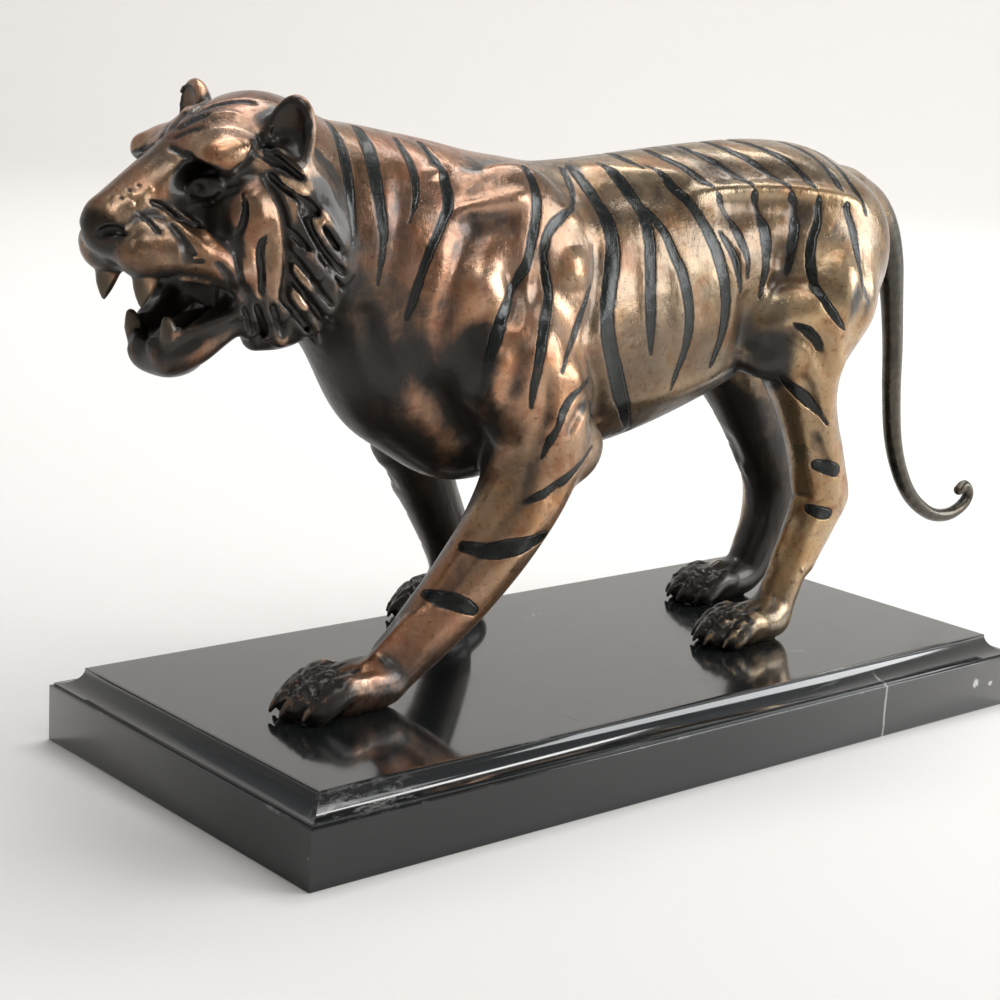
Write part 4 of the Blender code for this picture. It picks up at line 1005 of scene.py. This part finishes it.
def make_casting():
    D, lo, points, quads = cast_skin()
    lines = stripe_lines()
    normal = normals_of(points, quads)
    d = stripe_distance(lines, points)
    sole = points[:, 2] < PLINTH_HEIGHT + 0.9
    sink = RECESS * (1 - smooth(d, -1.0, 0.2)) + 0.22 * np.exp(-(d / 0.55) ** 2)
    points = points - normal * np.where(sole, 0, sink)[:, None]
    flat = sole & (normal[:, 2] < -0.6)
    points[flat, 2] = PLINTH_HEIGHT + 0.3
    obj = link("bronze_tiger", mesh_from("bronze_tiger", to_stand(points) * 0.001, quads))
    thin = obj.modifiers.new("facets", "DECIMATE")
    thin.ratio = min(1.0, SKIN_TRIANGLES / (2 * len(quads)))
    baked(obj)
    mesh = obj.data
    P = np.empty(len(mesh.vertices) * 3, np.float32)
    mesh.vertices.foreach_get("co", P)
    P = P.reshape(-1, 3).astype(float)
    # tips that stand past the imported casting's box are drawn in
    blo, bhi = (np.array(v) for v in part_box("tiger_casting"))
    for a in range(3):
        for edge, side in ((blo[a], -1), (bhi[a], 1)):
            out = side * (P[:, a] - edge) + 0.003
            top = out.max()
            if top > 0.003:
                P[:, a] = np.where(out > 0, edge - side * 0.003 + side * out * 0.0029 / top, P[:, a])
    mesh.vertices.foreach_set("co", P.astype(np.float32).ravel())
    N = np.empty(len(mesh.vertices) * 3, np.float32)
    mesh.update()
    mesh.vertices.foreach_get("normal", N)
    N = N.reshape(-1, 3).astype(float)
    C = to_casting(P * 1000)
    N = to_casting(P * 1000 + N) - C
    put(mesh, "stripe", stripe_distance(lines, C))
    near = read_grid(D, lo, SKIN_STEP, C + N * 1.7) / 1.7
    low = read_grid(D, lo, SKIN_STEP, C - N * 1.7) / 1.7
    wide_out = read_grid(COARSE, COARSE_LO, COARSE_STEP, C + N * 6.0) / 6.0
    wide_in = read_grid(COARSE, COARSE_LO, COARSE_STEP, C - N * 6.0) / 6.0
    put(mesh, "hollow", np.clip(1 - near, 0, 1))
    put(mesh, "ridge", np.clip(1 + low, 0, 1))
    put(mesh, "broad_hollow", np.clip(1 - wide_out, 0, 1))
    put(mesh, "broad_ridge", np.clip(1 + wide_in, 0, 1))
    put(mesh, "teeth", form_mask(TEETH, C, 0.4, 0.25))
    put(mesh, "black", form_mask(DARK, C, 1.0, 0.25))
    # painted shade in the eye sockets and the open mouth
    put(mesh, "dim", form_mask(PAINTED_SHADE_FORMS, C, 5.0, -2.5))
    tail = form_mask([Limb(TAIL[1:], n=4)], C, 2.5, 0.6) * smooth(C[:, 0], 168, 180)
    line = curve(TAIL, 12)
    run = np.r_[0, np.cumsum(np.linalg.norm(np.diff(line[:, :3], axis=0), axis=1))]
    on = np.flatnonzero(tail > 0)
    ring = np.zeros(len(C))
    for s in range(0, len(on), 4000):
        near_at = ((C[on[s:s + 4000], None, :] - line[None, :, :3]) ** 2).sum(2).argmin(1)
        ring[on[s:s + 4000]] = 0.5 + 0.5 * np.sin(run[near_at] * 2 * np.pi / 6.5)
    put(mesh, "tail", tail)
    put(mesh, "ring", ring)
    inward = -N[:, 1] * np.sign(C[:, 1])
    legs = (1 - smooth(C[:, 2], 128, 160)) * smooth(np.abs(C[:, 1]), 6, 16)
    turn_in = np.where(C[:, 1] > 0, smooth(inward, -0.8, 0.2), smooth(inward, -0.25, 0.7))
    chest = smooth(-N[:, 0], 0.0, 0.8) * (1 - smooth(C[:, 2], 170, 205)) * smooth(C[:, 2], 112, 140) * smooth(-C[:, 0], 38, 84)
    throat = smooth(-C[:, 0], 70, 100) * (1 - smooth(-C[:, 0], 140, 150)) * (1 - smooth(C[:, 2], 222, 244))
    jaw = form_mask([head_egg((20, 0, -50), (30, 26, 19), pitch=-18), head_egg((-9, 26, -24), (13, 16, 36)), head_egg((-9, -26, -24), (13, 16, 36))], C, 5.0, 0.0)
    under = smooth(-N[:, 2], 0.25, 0.95) * smooth(C[:, 2], 60, 90)
    groin = form_mask([Egg((82, s * 34, 165), (9, 10, 15), pitch=25) for s in SIDES], C, 9.0, -3.5)
    put(mesh, "shade", np.clip(legs * turn_in + 0.8 * under + 0.25 * (1 - smooth(C[:, 2], 44, 62)) + groin + chest + 0.55 * jaw + 0.22 * throat, 0, 1))
    # painted highlight: the outer sides of the legs, the thigh and the top of the muzzle are lightened as if lit
    limbs = (1 - turn_in) * smooth(C[:, 2], 44, 66) * (1 - smooth(C[:, 2], 165, 195)) * np.maximum(smooth(-C[:, 0], 20, 40), smooth(C[:, 0], 80, 92))
    thigh = form_mask([Egg((110, s * 44, 175), (26, 16, 34)) for s in SIDES], C, 10.0, 0.0)
    muzzle = form_mask([head_egg((54, 0, -8), (20, 14, 14))], C, 5.0, 0.0)
    put(mesh, "rubbed", np.clip(0.75 * limbs + 0.6 * thigh + 0.5 * muzzle, 0, 1))
    put(mesh, "rosy", smooth(-C[:, 0], -30, 105))
    toes = np.zeros(len(C))
    for cx, cy, angle, size in PAWS.values():
        v = (C[:, :2] - (cx, cy)) @ turned(angle)[:2, :2]
        toes = np.maximum(toes, smooth(-v[:, 0], 3, 12) * (np.abs(v[:, 1]) < 24) * (1 - smooth(-v[:, 0], 34, 38)) * (1 - smooth(C[:, 2], 52, 60)))
    put(mesh, "toes", toes)
    mesh.shade_smooth()
    print("casting", len(mesh.vertices), "vertices", sum(len(p.vertices) - 2 for p in mesh.polygons), "triangles")
    return obj


# ---- materials ----
class Finish:
    """A node material in short form: numbers, colours and sockets are taken alike."""

    def __init__(s, name):
        s.material = bpy.data.materials.new(name)
        s.material.use_nodes = True
        s.tree = s.material.node_tree
        s.shader = s.tree.nodes["Principled BSDF"]

    def node(s, kind, inputs=None, **props):
        n = s.tree.nodes.new(kind)
        for k, v in props.items():
            setattr(n, k, v)
        for k, v in (inputs or {}).items():
            s.feed(n.inputs[k], v)
        return n

    def feed(s, socket, v):
        if isinstance(v, bpy.types.NodeSocket):
            s.tree.links.new(v, socket)
        elif v is not None:
            socket.default_value = v + (1.0,) if isinstance(v, tuple) and len(v) == 3 and socket.type == "RGBA" else v

    def set(s, **values):
        for k, v in values.items():
            s.feed(s.shader.inputs[k.replace("_", " ")], v)

    def math(s, op, a, b=None, c=None, clamp=False):
        n = s.node("ShaderNodeMath", operation=op, use_clamp=clamp)
        for i, v in enumerate((a, b, c)):
            if v is not None:
                s.feed(n.inputs[i], v)
        return n.outputs[0]

    def step(s, v, a, b, to0=0.0, to1=1.0):
        n = s.node("ShaderNodeMapRange", interpolation_type="SMOOTHSTEP")
        for k, x in (("Value", v), ("From Min", a), ("From Max", b), ("To Min", to0), ("To Max", to1)):
            s.feed(n.inputs[k], x)
        return n.outputs["Result"]

    def mix(s, f, a, b, blend="MIX"):
        n = s.node("ShaderNodeMix", data_type="RGBA", blend_type=blend, clamp_factor=True)
        s.feed(n.inputs[0], f)
        s.feed(n.inputs[6], a)
        s.feed(n.inputs[7], b)
        return n.outputs[2]

    def read(s, name):
        return s.node("ShaderNodeAttribute", attribute_name=name, attribute_type="GEOMETRY").outputs["Fac"]

    def place(s, scale=(1, 1, 1), turn=(0, 0, 0), move=(0, 0, 0)):
        c = s.node("ShaderNodeTexCoord").outputs["Object"]
        n = s.node("ShaderNodeMapping")
        s.feed(n.inputs["Vector"], c)
        n.inputs["Scale"].default_value = scale
        n.inputs["Rotation"].default_value = turn
        n.inputs["Location"].default_value = move
        return n.outputs[0]

    def noise(s, vector, scale, detail=3.0, rough=0.5, twist=0.0):
        n = s.node("ShaderNodeTexNoise", {"Vector": vector, "Scale": scale, "Detail": detail, "Roughness": rough, "Distortion": twist})
        return n.outputs["Fac"]

    def cells(s, vector, scale, feature="F1", randomness=1.0):
        n = s.node("ShaderNodeTexVoronoi", {"Vector": vector, "Scale": scale, "Randomness": randomness}, feature=feature)
        return n.outputs["Distance"]

    def bump(s, height, distance, strength=1.0, below=None):
        n = s.node("ShaderNodeBump", {"Height": height, "Strength": strength, "Distance": distance})
        if below is not None:
            s.feed(n.inputs["Normal"], below)
        return n.outputs["Normal"]


def bronze_finish():
    f = Finish("patinated_bronze")
    at = f.place()
    stripe, hollow, ridge = f.read("stripe"), f.read("hollow"), f.read("ridge")
    broad, crest = f.read("broad_hollow"), f.read("broad_ridge")
    # painted shade: the eye sockets and mouth, together with the shade mask of inner legs, undersides, groin, chest,
    # jaw and throat
    teeth, black, dim = f.read("teeth"), f.read("black"), f.math("MAXIMUM", f.read("dim"), f.math("MULTIPLY", f.read("shade"), 0.92))
    cloud = f.noise(at, 18, 5, 0.6, 0.4)
    mottle = f.noise(at, 75, 5, 0.62, 0.6)
    grit = f.noise(at, 420, 4, 0.6)
    streak = f.noise(f.place((1, 1, 0.22)), 150, 4, 0.6, 0.5)
    # where the brown has been rubbed back to gold on ridges, lightened further by painted highlight on the lit limbs,
    # thigh and muzzle; and where it has gathered dark in hollows, darkened further by painted shade in the sockets,
    # mouth, undersides and shaded sides
    wear_and_painted_light = f.math("ADD", f.math("MULTIPLY", f.math("SUBTRACT", ridge, 0.02), 2.6), f.math("MULTIPLY", crest, 1.3))
    wear_and_painted_light = f.math("ADD", wear_and_painted_light, f.math("MULTIPLY", f.math("SUBTRACT", cloud, 0.5), 1.5))
    wear_and_painted_light = f.math("ADD", wear_and_painted_light, f.math("MULTIPLY", f.math("SUBTRACT", mottle, 0.5), 1.1))
    wear_and_painted_light = f.step(f.math("ADD", wear_and_painted_light, f.math("MULTIPLY", f.read("rubbed"), 0.62)), -0.45, 0.95)
    # patina gathered in hollows, plus painted shade from the sockets, mouth and shaded sides
    dirt_and_shade = f.math("ADD", f.math("MULTIPLY", hollow, 2.4), f.math("ADD", f.math("MULTIPLY", broad, 1.6), f.math("MULTIPLY", dim, 1.1)))
    dirt_and_shade = f.math("ADD", dirt_and_shade, f.math("MULTIPLY", f.math("SUBTRACT", streak, 0.5), 0.8))
    grime = f.math("MULTIPLY", f.read("rosy"), f.step(f.noise(at, 48, 5, 0.65, 0.5), 0.47, 0.66))
    patch = f.step(f.noise(f.place(turn=(0.4, 0.1, 0.7)), 30, 5, 0.68, 0.9), 0.50, 0.68)
    patch = f.math("MULTIPLY", f.math("MAXIMUM", patch, grime), f.math("MULTIPLY_ADD", f.read("rubbed"), -0.7, 1.0))
    dirt_and_shade = f.math("ADD", dirt_and_shade, f.math("MULTIPLY", patch, 0.42))
    toes = f.read("toes")
    gather = f.step(f.math("ADD", f.noise(at, 230, 4, 0.6), f.math("MULTIPLY", ridge, -1.1)), 0.25, 0.55)
    dirt_and_shade = f.math("ADD", dirt_and_shade, f.math("MULTIPLY", toes, f.math("MULTIPLY_ADD", gather, 0.5, 0.36)))
    dirt_and_shade = f.step(dirt_and_shade, 0.30, 1.15)
    colour = f.mix(wear_and_painted_light, (0.105, 0.069, 0.048), (0.470, 0.345, 0.235))
    # painted highlight: an amber tint on the lit limbs, thigh and muzzle
    colour = f.mix(f.math("MULTIPLY", f.read("rubbed"), 0.65), colour, f.mix(1.0, colour, (1.05, 0.89, 0.71), "MULTIPLY"))
    rosy = f.math("MULTIPLY", f.read("rosy"), f.step(cloud, 0.35, 0.62, 0.35, 1.0))
    colour = f.mix(rosy, f.mix(1.0, colour, (0.97, 1.03, 0.96), "MULTIPLY"), f.mix(1.0, colour, (1.0, 0.80, 0.79), "MULTIPLY"))
    colour = f.mix(f.step(f.noise(at, 34, 4, 0.6, 0.8), 0.42, 0.68), colour, f.mix(1.0, colour, (1.0, 0.84, 0.64), "MULTIPLY"))
    colour = f.mix(f.step(mottle, 0.46, 0.70), colour, f.mix(1.0, colour, (0.62, 0.46, 0.40), "MULTIPLY"))
    colour = f.mix(f.step(grit, 0.56, 0.72), colour, f.mix(1.0, colour, (0.55, 0.5, 0.45), "MULTIPLY"))
    # dark brown of patina in the hollows, which also carries the painted shade
    colour = f.mix(dirt_and_shade, colour, (0.019, 0.014, 0.010))
    # the stripes: a black-green patina inside an engraved line
    wobble = f.math("ADD", stripe, f.math("MULTIPLY", f.math("SUBTRACT", f.noise(at, 200, 4, 0.62), 0.5), 1.5))
    inside = f.step(wobble, -0.25, 0.15, 1.0, 0.0)
    worn = f.step(f.math("ADD", f.noise(at, 160, 5, 0.65), f.math("MULTIPLY", ridge, 0.5)), 0.60, 0.78)
    dark = f.mix(worn, f.mix(mottle, (0.004, 0.006, 0.005), (0.009, 0.012, 0.009)), (0.060, 0.040, 0.022))
    colour = f.mix(inside, colour, dark)
    line = f.math("MULTIPLY", f.step(f.math("ABSOLUTE", wobble), 0.15, 0.62, 1.0, 0.0), 0.93)
    colour = f.mix(line, colour, (0.006, 0.005, 0.004))
    tail_colour = f.mix(f.math("MULTIPLY", f.read("ring"), f.step(cloud, 0.3, 0.7, 0.25, 0.75)), (0.030, 0.034, 0.028), (0.095, 0.080, 0.062))
    colour = f.mix(f.math("MULTIPLY", f.read("tail"), 0.94), colour, tail_colour)
    colour = f.mix(f.math("MULTIPLY", black, 0.93), colour, (0.008, 0.007, 0.006))
    colour = f.mix(teeth, colour, f.mix(mottle, (0.045, 0.034, 0.022), (0.120, 0.088, 0.052)))
    rough = f.math("ADD", f.step(mottle, 0.3, 0.75, 0.23, 0.43), f.math("MULTIPLY", dirt_and_shade, 0.16))
    rough = f.mix(inside, rough, f.step(mottle, 0.3, 0.75, 0.20, 0.36))
    metal = f.math("SUBTRACT", 0.85, f.math("MULTIPLY", f.math("MAXIMUM", inside, dirt_and_shade), 0.45))
    f.set(Base_Color=colour, Roughness=rough, Metallic=metal)
    # cast skin: soft unevenness, chased tool strokes, fine pits
    n = f.bump(f.noise(at, 95, 3, 0.5), 0.0009, 0.55)
    n = f.bump(f.noise(f.place((1, 1, 0.3), (0.2, 0.5, 0.1)), 380, 3, 0.55), 0.00035, 0.55, n)
    pits = f.step(f.cells(at, 620), 0.10, 0.34)
    pits = f.math("MAXIMUM", pits, f.step(f.noise(at, 60, 2), 0.40, 0.48, 0.0, 1.0))
    n = f.bump(pits, 0.00010, 0.6, n)
    n = f.bump(f.noise(at, 1300, 3, 0.6), 0.00012, 0.5, n)
    n = f.bump(f.math("MULTIPLY", line, -1.0), 0.00035, 0.8, n)
    f.set(Normal=n)
    f.set(Coat_Weight=f.math("MULTIPLY_ADD", inside, -0.24, 0.35))
    f.shader.inputs["Coat Roughness"].default_value = 0.18
    return f.material


def marble_finish():
    f = Finish("black_marble")
    at = f.place()
    cloud = f.noise(at, 7, 5, 0.6, 1.2)
    fine = f.noise(at, 160, 5, 0.7)
    base = f.mix(f.step(cloud, 0.35, 0.7), (0.0085, 0.010, 0.0105), (0.0150, 0.0170, 0.0172))
    base = f.mix(f.step(fine, 0.60, 0.85), base, (0.026, 0.028, 0.028))
    # a few thin pale veins: the zero line of warped noise, broken by another
    warp = f.noise(f.place(turn=(0.3, 0.2, 0.9)), 5.0, 6, 0.62, 1.6)
    vein = f.step(f.math("ABSOLUTE", f.math("SUBTRACT", warp, 0.5)), 0.0, 0.005, 1.0, 0.0)
    vein = f.math("MULTIPLY", vein, f.step(f.noise(at, 16, 3), 0.62, 0.72))
    base = f.mix(f.math("MULTIPLY", vein, 0.45), base, (0.34, 0.34, 0.33))
    x, y, z = (f.node("ShaderNodeSeparateXYZ", {"Vector": at}).outputs[i] for i in range(3))
    # one vein runs straight through the slab near its right end
    line = f.math("ADD", f.math("SUBTRACT", x, VEIN_AT), f.math("MULTIPLY", f.math("SUBTRACT", f.noise(at, 120, 3, 0.6), 0.5), 0.0016))
    line = f.step(f.math("ABSOLUTE", line), 0.0, 0.0011, 1.0, 0.0)
    line = f.math("MULTIPLY", line, f.math("MULTIPLY", f.step(y, -0.082, -0.088), f.step(f.noise(at, 300, 3), 0.30, 0.5, 0.35, 1.0)))
    base = f.mix(f.math("MULTIPLY", line, 0.8), base, (0.40, 0.40, 0.38))
    specks = f.math("MULTIPLY", f.step(f.cells(at, 95), 0.020, 0.045, 1.0, 0.0), f.step(f.noise(at, 30, 2), 0.60, 0.68))
    for sx, sz, r in SPECKS:
        away = f.node("ShaderNodeVectorMath", {0: at, 1: (sx, -0.0917, sz)}, operation="DISTANCE").outputs["Value"]
        away = f.math("ADD", away, f.math("MULTIPLY", f.math("SUBTRACT", f.noise(at, 700, 3), 0.5), 0.003))
        specks = f.math("MAXIMUM", specks, f.step(away, r * 0.5, r, 1.0, 0.0))
    base = f.mix(f.math("MULTIPLY", specks, 0.8), base, (0.50, 0.50, 0.48))
    # edges rubbed pale by handling, most of all by the front corner
    edge = f.math("MULTIPLY", f.read("arris"), f.step(f.noise(at, 55, 4, 0.65), 0.56, 0.72))
    smear = f.math("MULTIPLY", f.step(f.math("ABSOLUTE", f.math("ADD", x, 0.172)), 0.012, 0.032, 1.0, 0.0), f.step(y, -0.078, -0.086))
    smear = f.math("MULTIPLY", f.math("MULTIPLY", smear, f.step(z, 0.0225, 0.026)), f.step(f.noise(f.place((1, 3, 3)), 130, 5, 0.7, 0.6), 0.47, 0.66))
    edge = f.math("MAXIMUM", f.math("MULTIPLY", edge, 0.6), f.math("MULTIPLY", smear, 0.8))
    base = f.mix(f.math("MULTIPLY", edge, 0.7), base, (0.36, 0.36, 0.35))
    scratch = f.noise(f.place((1.0, 0.03, 1.0), (0, 0, 0.5)), 900, 2, 0.5)
    marks = f.math("MULTIPLY", f.step(scratch, 0.70, 0.76), f.step(f.noise(at, 22, 2), 0.55, 0.65))
    rough = f.math("ADD", f.step(f.noise(at, 28, 4, 0.6), 0.35, 0.75, 0.07, 0.17), f.math("MULTIPLY", f.math("MAXIMUM", edge, marks), 0.25))
    f.set(Base_Color=base, Roughness=rough)
    n = f.bump(f.noise(at, 22, 2), 0.0002, 0.25)
    n = f.bump(f.math("MULTIPLY", f.math("MAXIMUM", marks, specks), -1.0), 0.00008, 0.6, n)
    f.set(Normal=n)
    f.shader.inputs["IOR"].default_value = 1.52
    f.shader.inputs["Coat Weight"].default_value = 0.35
    f.shader.inputs["Coat Roughness"].default_value = 0.06
    return f.material


def steel_finish():
    f = Finish("zinc_plated_steel")
    at = f.place()
    spangle = f.noise(at, 500, 4, 0.6)
    colour = f.mix(spangle, (0.42, 0.43, 0.43), (0.66, 0.66, 0.64))
    f.set(Base_Color=colour, Metallic=1.0, Roughness=f.step(f.noise(at, 900, 4, 0.6), 0.3, 0.7, 0.28, 0.46))
    f.set(Normal=f.bump(f.noise(f.place((1, 1, 8)), 1400, 3), 0.00006, 0.6))
    return f.material


# ---- the plinth ----
def make_plinth():
    """A slab with a cove worked round its upper edge above a small fillet, every arris just broken."""
    steps = 20
    foot = SIDE_HEIGHT + FILLET_RISE
    B = 0.35
    profile = [(B, 0.0), (B * 0.3, B * 0.3), (0.0, B), (0.0, B + 0.9), (0.0, SIDE_HEIGHT - B - 0.9), (0.0, SIDE_HEIGHT - B),
               (B * 0.3, SIDE_HEIGHT - B * 0.3), (B, SIDE_HEIGHT),
               (FILLET_INSET - 0.15, SIDE_HEIGHT), (FILLET_INSET, SIDE_HEIGHT + 0.15)]
    for i in range(steps + 1):
        t = np.pi / 2 * (1 - i / steps)
        profile.append((MOULDING_INSET - (MOULDING_INSET - FILLET_INSET) * (1 - np.cos(t)), PLINTH_HEIGHT - (PLINTH_HEIGHT - foot) * np.sin(t)))
    x, z = profile[-1]
    profile[-1] = (x - 0.12, z - 0.30)
    profile += [(x + 0.05, z - 0.07), (x + 0.4, z), (x + 1.5, z)]
    # corners of the plan are broken too
    c = 0.3
    points, faces, arris = [], [], []
    for inset, z in profile:
        hx, hy = PLINTH_LENGTH / 2 - inset, PLINTH_WIDTH / 2 - inset
        ring = [(-hx + c, -hy), (hx - c, -hy), (hx - c * 0.3, -hy + c * 0.3), (hx, -hy + c), (hx, hy - c), (hx - c * 0.3, hy - c * 0.3),
                (hx - c, hy), (-hx + c, hy), (-hx + c * 0.3, hy - c * 0.3), (-hx, hy - c), (-hx, -hy + c), (-hx + c * 0.3, -hy + c * 0.3)]
        points += [(a, b, z) for a, b in ring]
    m = 12
    for r in range(len(profile) - 1):
        for i in range(m):
            j = (i + 1) % m
            faces.append((m * r + i, m * r + j, m * r + m + j, m * r + m + i))
    last = m * (len(profile) - 1)
    faces += [tuple(range(m - 1, -1, -1)), tuple(range(last, last + m))]
    mesh = bpy.data.meshes.new("marble_base")
    mesh.from_pydata([tuple(np.array(p) * 0.001) for p in points], [], faces)
    obj = link("marble_base", mesh)
    cutters = []
    for name, (cx, cy, _, _) in PAWS.items():
        at = to_stand([(cx + (4 if name.endswith("fore") else 2), cy, 0)])[0][:2]
        rings = [(COUNTERBORE_RADIUS, -5.0), (COUNTERBORE_RADIUS, COUNTERBORE_DEPTH), (HOLE_RADIUS, COUNTERBORE_DEPTH), (HOLE_RADIUS, PLINTH_HEIGHT + 5)]
        k = 48
        pts = [(at[0] + r * np.cos(2 * np.pi * i / k), at[1] + r * np.sin(2 * np.pi * i / k), h) for r, h in rings for i in range(k)]
        fs = [(k * r + i, k * r + (i + 1) % k, k * r + k + (i + 1) % k, k * r + k + i) for r in range(3) for i in range(k)]
        fs += [tuple(range(k - 1, -1, -1)), tuple(range(3 * k, 4 * k))]
        cm = bpy.data.meshes.new("bore")
        cm.from_pydata([tuple(np.array(p) * 0.001) for p in pts], [], fs)
        cutter = link("bore_" + name, cm)
        cutters.append(cutter)
        b = obj.modifiers.new(cutter.name, "BOOLEAN")
        b.operation, b.solver, b.object = "DIFFERENCE", "EXACT", cutter
    baked(obj)
    for cutter in cutters:
        cm = cutter.data
        bpy.data.objects.remove(cutter)
        bpy.data.meshes.remove(cm)
    # faces of more than four corners are cut into triangles before the wear along the edges is marked
    bm = bmesh.new()
    bm.from_mesh(obj.data)
    bmesh.ops.triangulate(bm, faces=[f for f in bm.faces if len(f.verts) > 4])
    bm.to_mesh(obj.data)
    bm.free()
    mesh = obj.data
    P = np.array([v.co for v in mesh.vertices]) * 1000
    inset = np.minimum(PLINTH_LENGTH / 2 - np.abs(P[:, 0]), PLINTH_WIDTH / 2 - np.abs(P[:, 1]))
    worn = np.zeros(len(P))
    for a, b in profile[5:8] + profile[-4:-1]:
        worn = np.maximum(worn, (np.hypot(inset - a, P[:, 2] - b) < 0.25) * 1.0)
    put(mesh, "arris", worn)
    for p in mesh.polygons:
        p.use_smooth = True
    mesh.set_sharp_from_angle(angle=np.radians(32))
    return obj


FORMS = casting_forms()
COARSE_STEP = 2.0
COARSE_LO = np.min([f.lo for kind, f, _ in FORMS if kind == "add"], axis=0) - 6
COARSE_HI = np.max([f.hi for kind, f, _ in FORMS if kind == "add"], axis=0) + 6
COARSE = sample(FORMS, COARSE_LO, COARSE_HI, COARSE_STEP)
SIDES = (-1, 1)
TEETH = [f for s in SIDES for f in (
    head_limb([(54.5, s * 10.8, -31, 4.0), (55.5, s * 11, -36, 3.0), (56, s * 11, -42, 0.7)], n=3),
    head_limb([(42.5, s * 10.3, -54, 3.0), (43, s * 10.4, -51, 2.7), (44.5, s * 10.6, -45.5, 0.8)], n=3))]
DARK = [head_egg((64.6, 0, -15.6), (7.4, 9.8, 9.6), pitch=-20), head_egg((6.6, -29.6, 17.6), (6.6, 9.4, 17.4), yaw=34, roll=12),
        head_egg((6.8, 28.8, 22.5), (5.0, 8.4, 12.0), yaw=-20, roll=-12)]
# painted shade: the eye sockets and the open mouth are darkened as if in shadow
PAINTED_SHADE_FORMS = [head_egg((35, s * 18.5, 0.0), (19, 11.5, 11.0), pitch=-12, yaw=s * -28) for s in SIDES] + [head_egg((34, 0, -43), (27, 18, 12), pitch=-20)]

tiger = make_casting()
tiger.data.materials.clear()
tiger.data.materials.append(bronze_finish())
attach(tiger, "root")
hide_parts("tiger_casting")

plinth = make_plinth()
plinth.data.materials.clear()
plinth.data.materials.append(marble_finish())
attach(plinth, "root")
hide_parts("marble_plinth")

steel = steel_finish()
for name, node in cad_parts.items():
    if name.startswith(("bolt_", "washer_")):
        node.data.materials.clear()
        node.data.materials.append(steel)


# ---- floor, light and camera ----
def plain(name, colour, rough):
    m = bpy.data.materials.new(name)
    m.use_nodes = True
    b = m.node_tree.nodes["Principled BSDF"]
    b.inputs["Base Color"].default_value = colour + (1.0,)
    b.inputs["Roughness"].default_value = rough
    return m


def make_floor():
    """A pale floor that sweeps up into a round wall far behind, so no edge of it shows."""
    rings = [(0.6 * i, 0.0) for i in range(1, 6)] + [(3.0 + 1.6 * np.sin(a), 1.6 - 1.6 * np.cos(a)) for a in np.linspace(0, np.pi / 2, 13)[1:]] + [(4.6, 3.4)]
    k = 96
    points = [(0.0, 0.0, 0.0)] + [(r * np.cos(2 * np.pi * i / k), r * np.sin(2 * np.pi * i / k), z) for r, z in rings for i in range(k)]
    faces = [(0, 1 + i, 1 + (i + 1) % k) for i in range(k)]
    for n in range(len(rings) - 1):
        for i in range(k):
            j = (i + 1) % k
            faces.append((1 + n * k + i, 1 + n * k + k + i, 1 + n * k + k + j, 1 + n * k + j))
    mesh = bpy.data.meshes.new("floor")
    mesh.from_pydata(points, [], faces)
    mesh.shade_smooth()
    return link("floor", mesh)


floor = make_floor()
floor.data.materials.append(plain("pale_floor", (0.76, 0.745, 0.727), 0.7))

scene = bpy.context.scene
world = bpy.data.worlds.new("studio")
world.use_nodes = True
scene.world = world
sky = world.node_tree.nodes["Background"]
sky.inputs["Color"].default_value = (0.95, 0.97, 1.0, 1.0)
sky.inputs["Strength"].default_value = 0.32


def softbox(name, place, aim, size, power, colour=(1, 1, 1)):
    data = bpy.data.lights.new(name, "AREA")
    data.shape = "RECTANGLE"
    data.size, data.size_y = size
    data.energy = power
    data.color = colour
    obj = bpy.data.objects.new(name, data)
    scene.collection.objects.link(obj)
    obj.location = place
    obj.rotation_euler = (Vector(aim) - Vector(place)).to_track_quat("-Z", "Y").to_euler()
    return obj


softbox("key", (-0.25, -0.75, 1.65), (0, 0, 0.15), (0.7, 0.7), 6.6, (1.0, 0.98, 0.95))
softbox("top", (0.35, 0.15, 2.0), (0, 0, 0.15), (1.5, 0.8), 12)
softbox("window", (1.35, -1.15, 0.62), (0.05, 0, 0.15), (1.3, 0.9), 27, (0.97, 0.985, 1.0))
softbox("backdrop", (1.3, 0.6, 2.6), (2.6, 2.2, 0.5), (2.2, 1.2), 92, (1.0, 0.985, 0.965))


cam = bpy.data.cameras.new("camera")
cam.sensor_width = 36.0
cam.sensor_fit = "HORIZONTAL"
cam.lens = FOCAL / CANVAS * 36.0
cam.clip_start, cam.clip_end = 0.01, 30.0
view = bpy.data.objects.new("camera", cam)
scene.collection.objects.link(view)
right, down, ahead = EYE_AXES
rows = [[right[i], -down[i], -ahead[i]] for i in range(3)]
view.matrix_world = Matrix.Translation(Vector(EYE * 0.001)) @ Matrix(rows).to_4x4()
scene.camera = view
scene.view_settings.view_transform = "Standard"
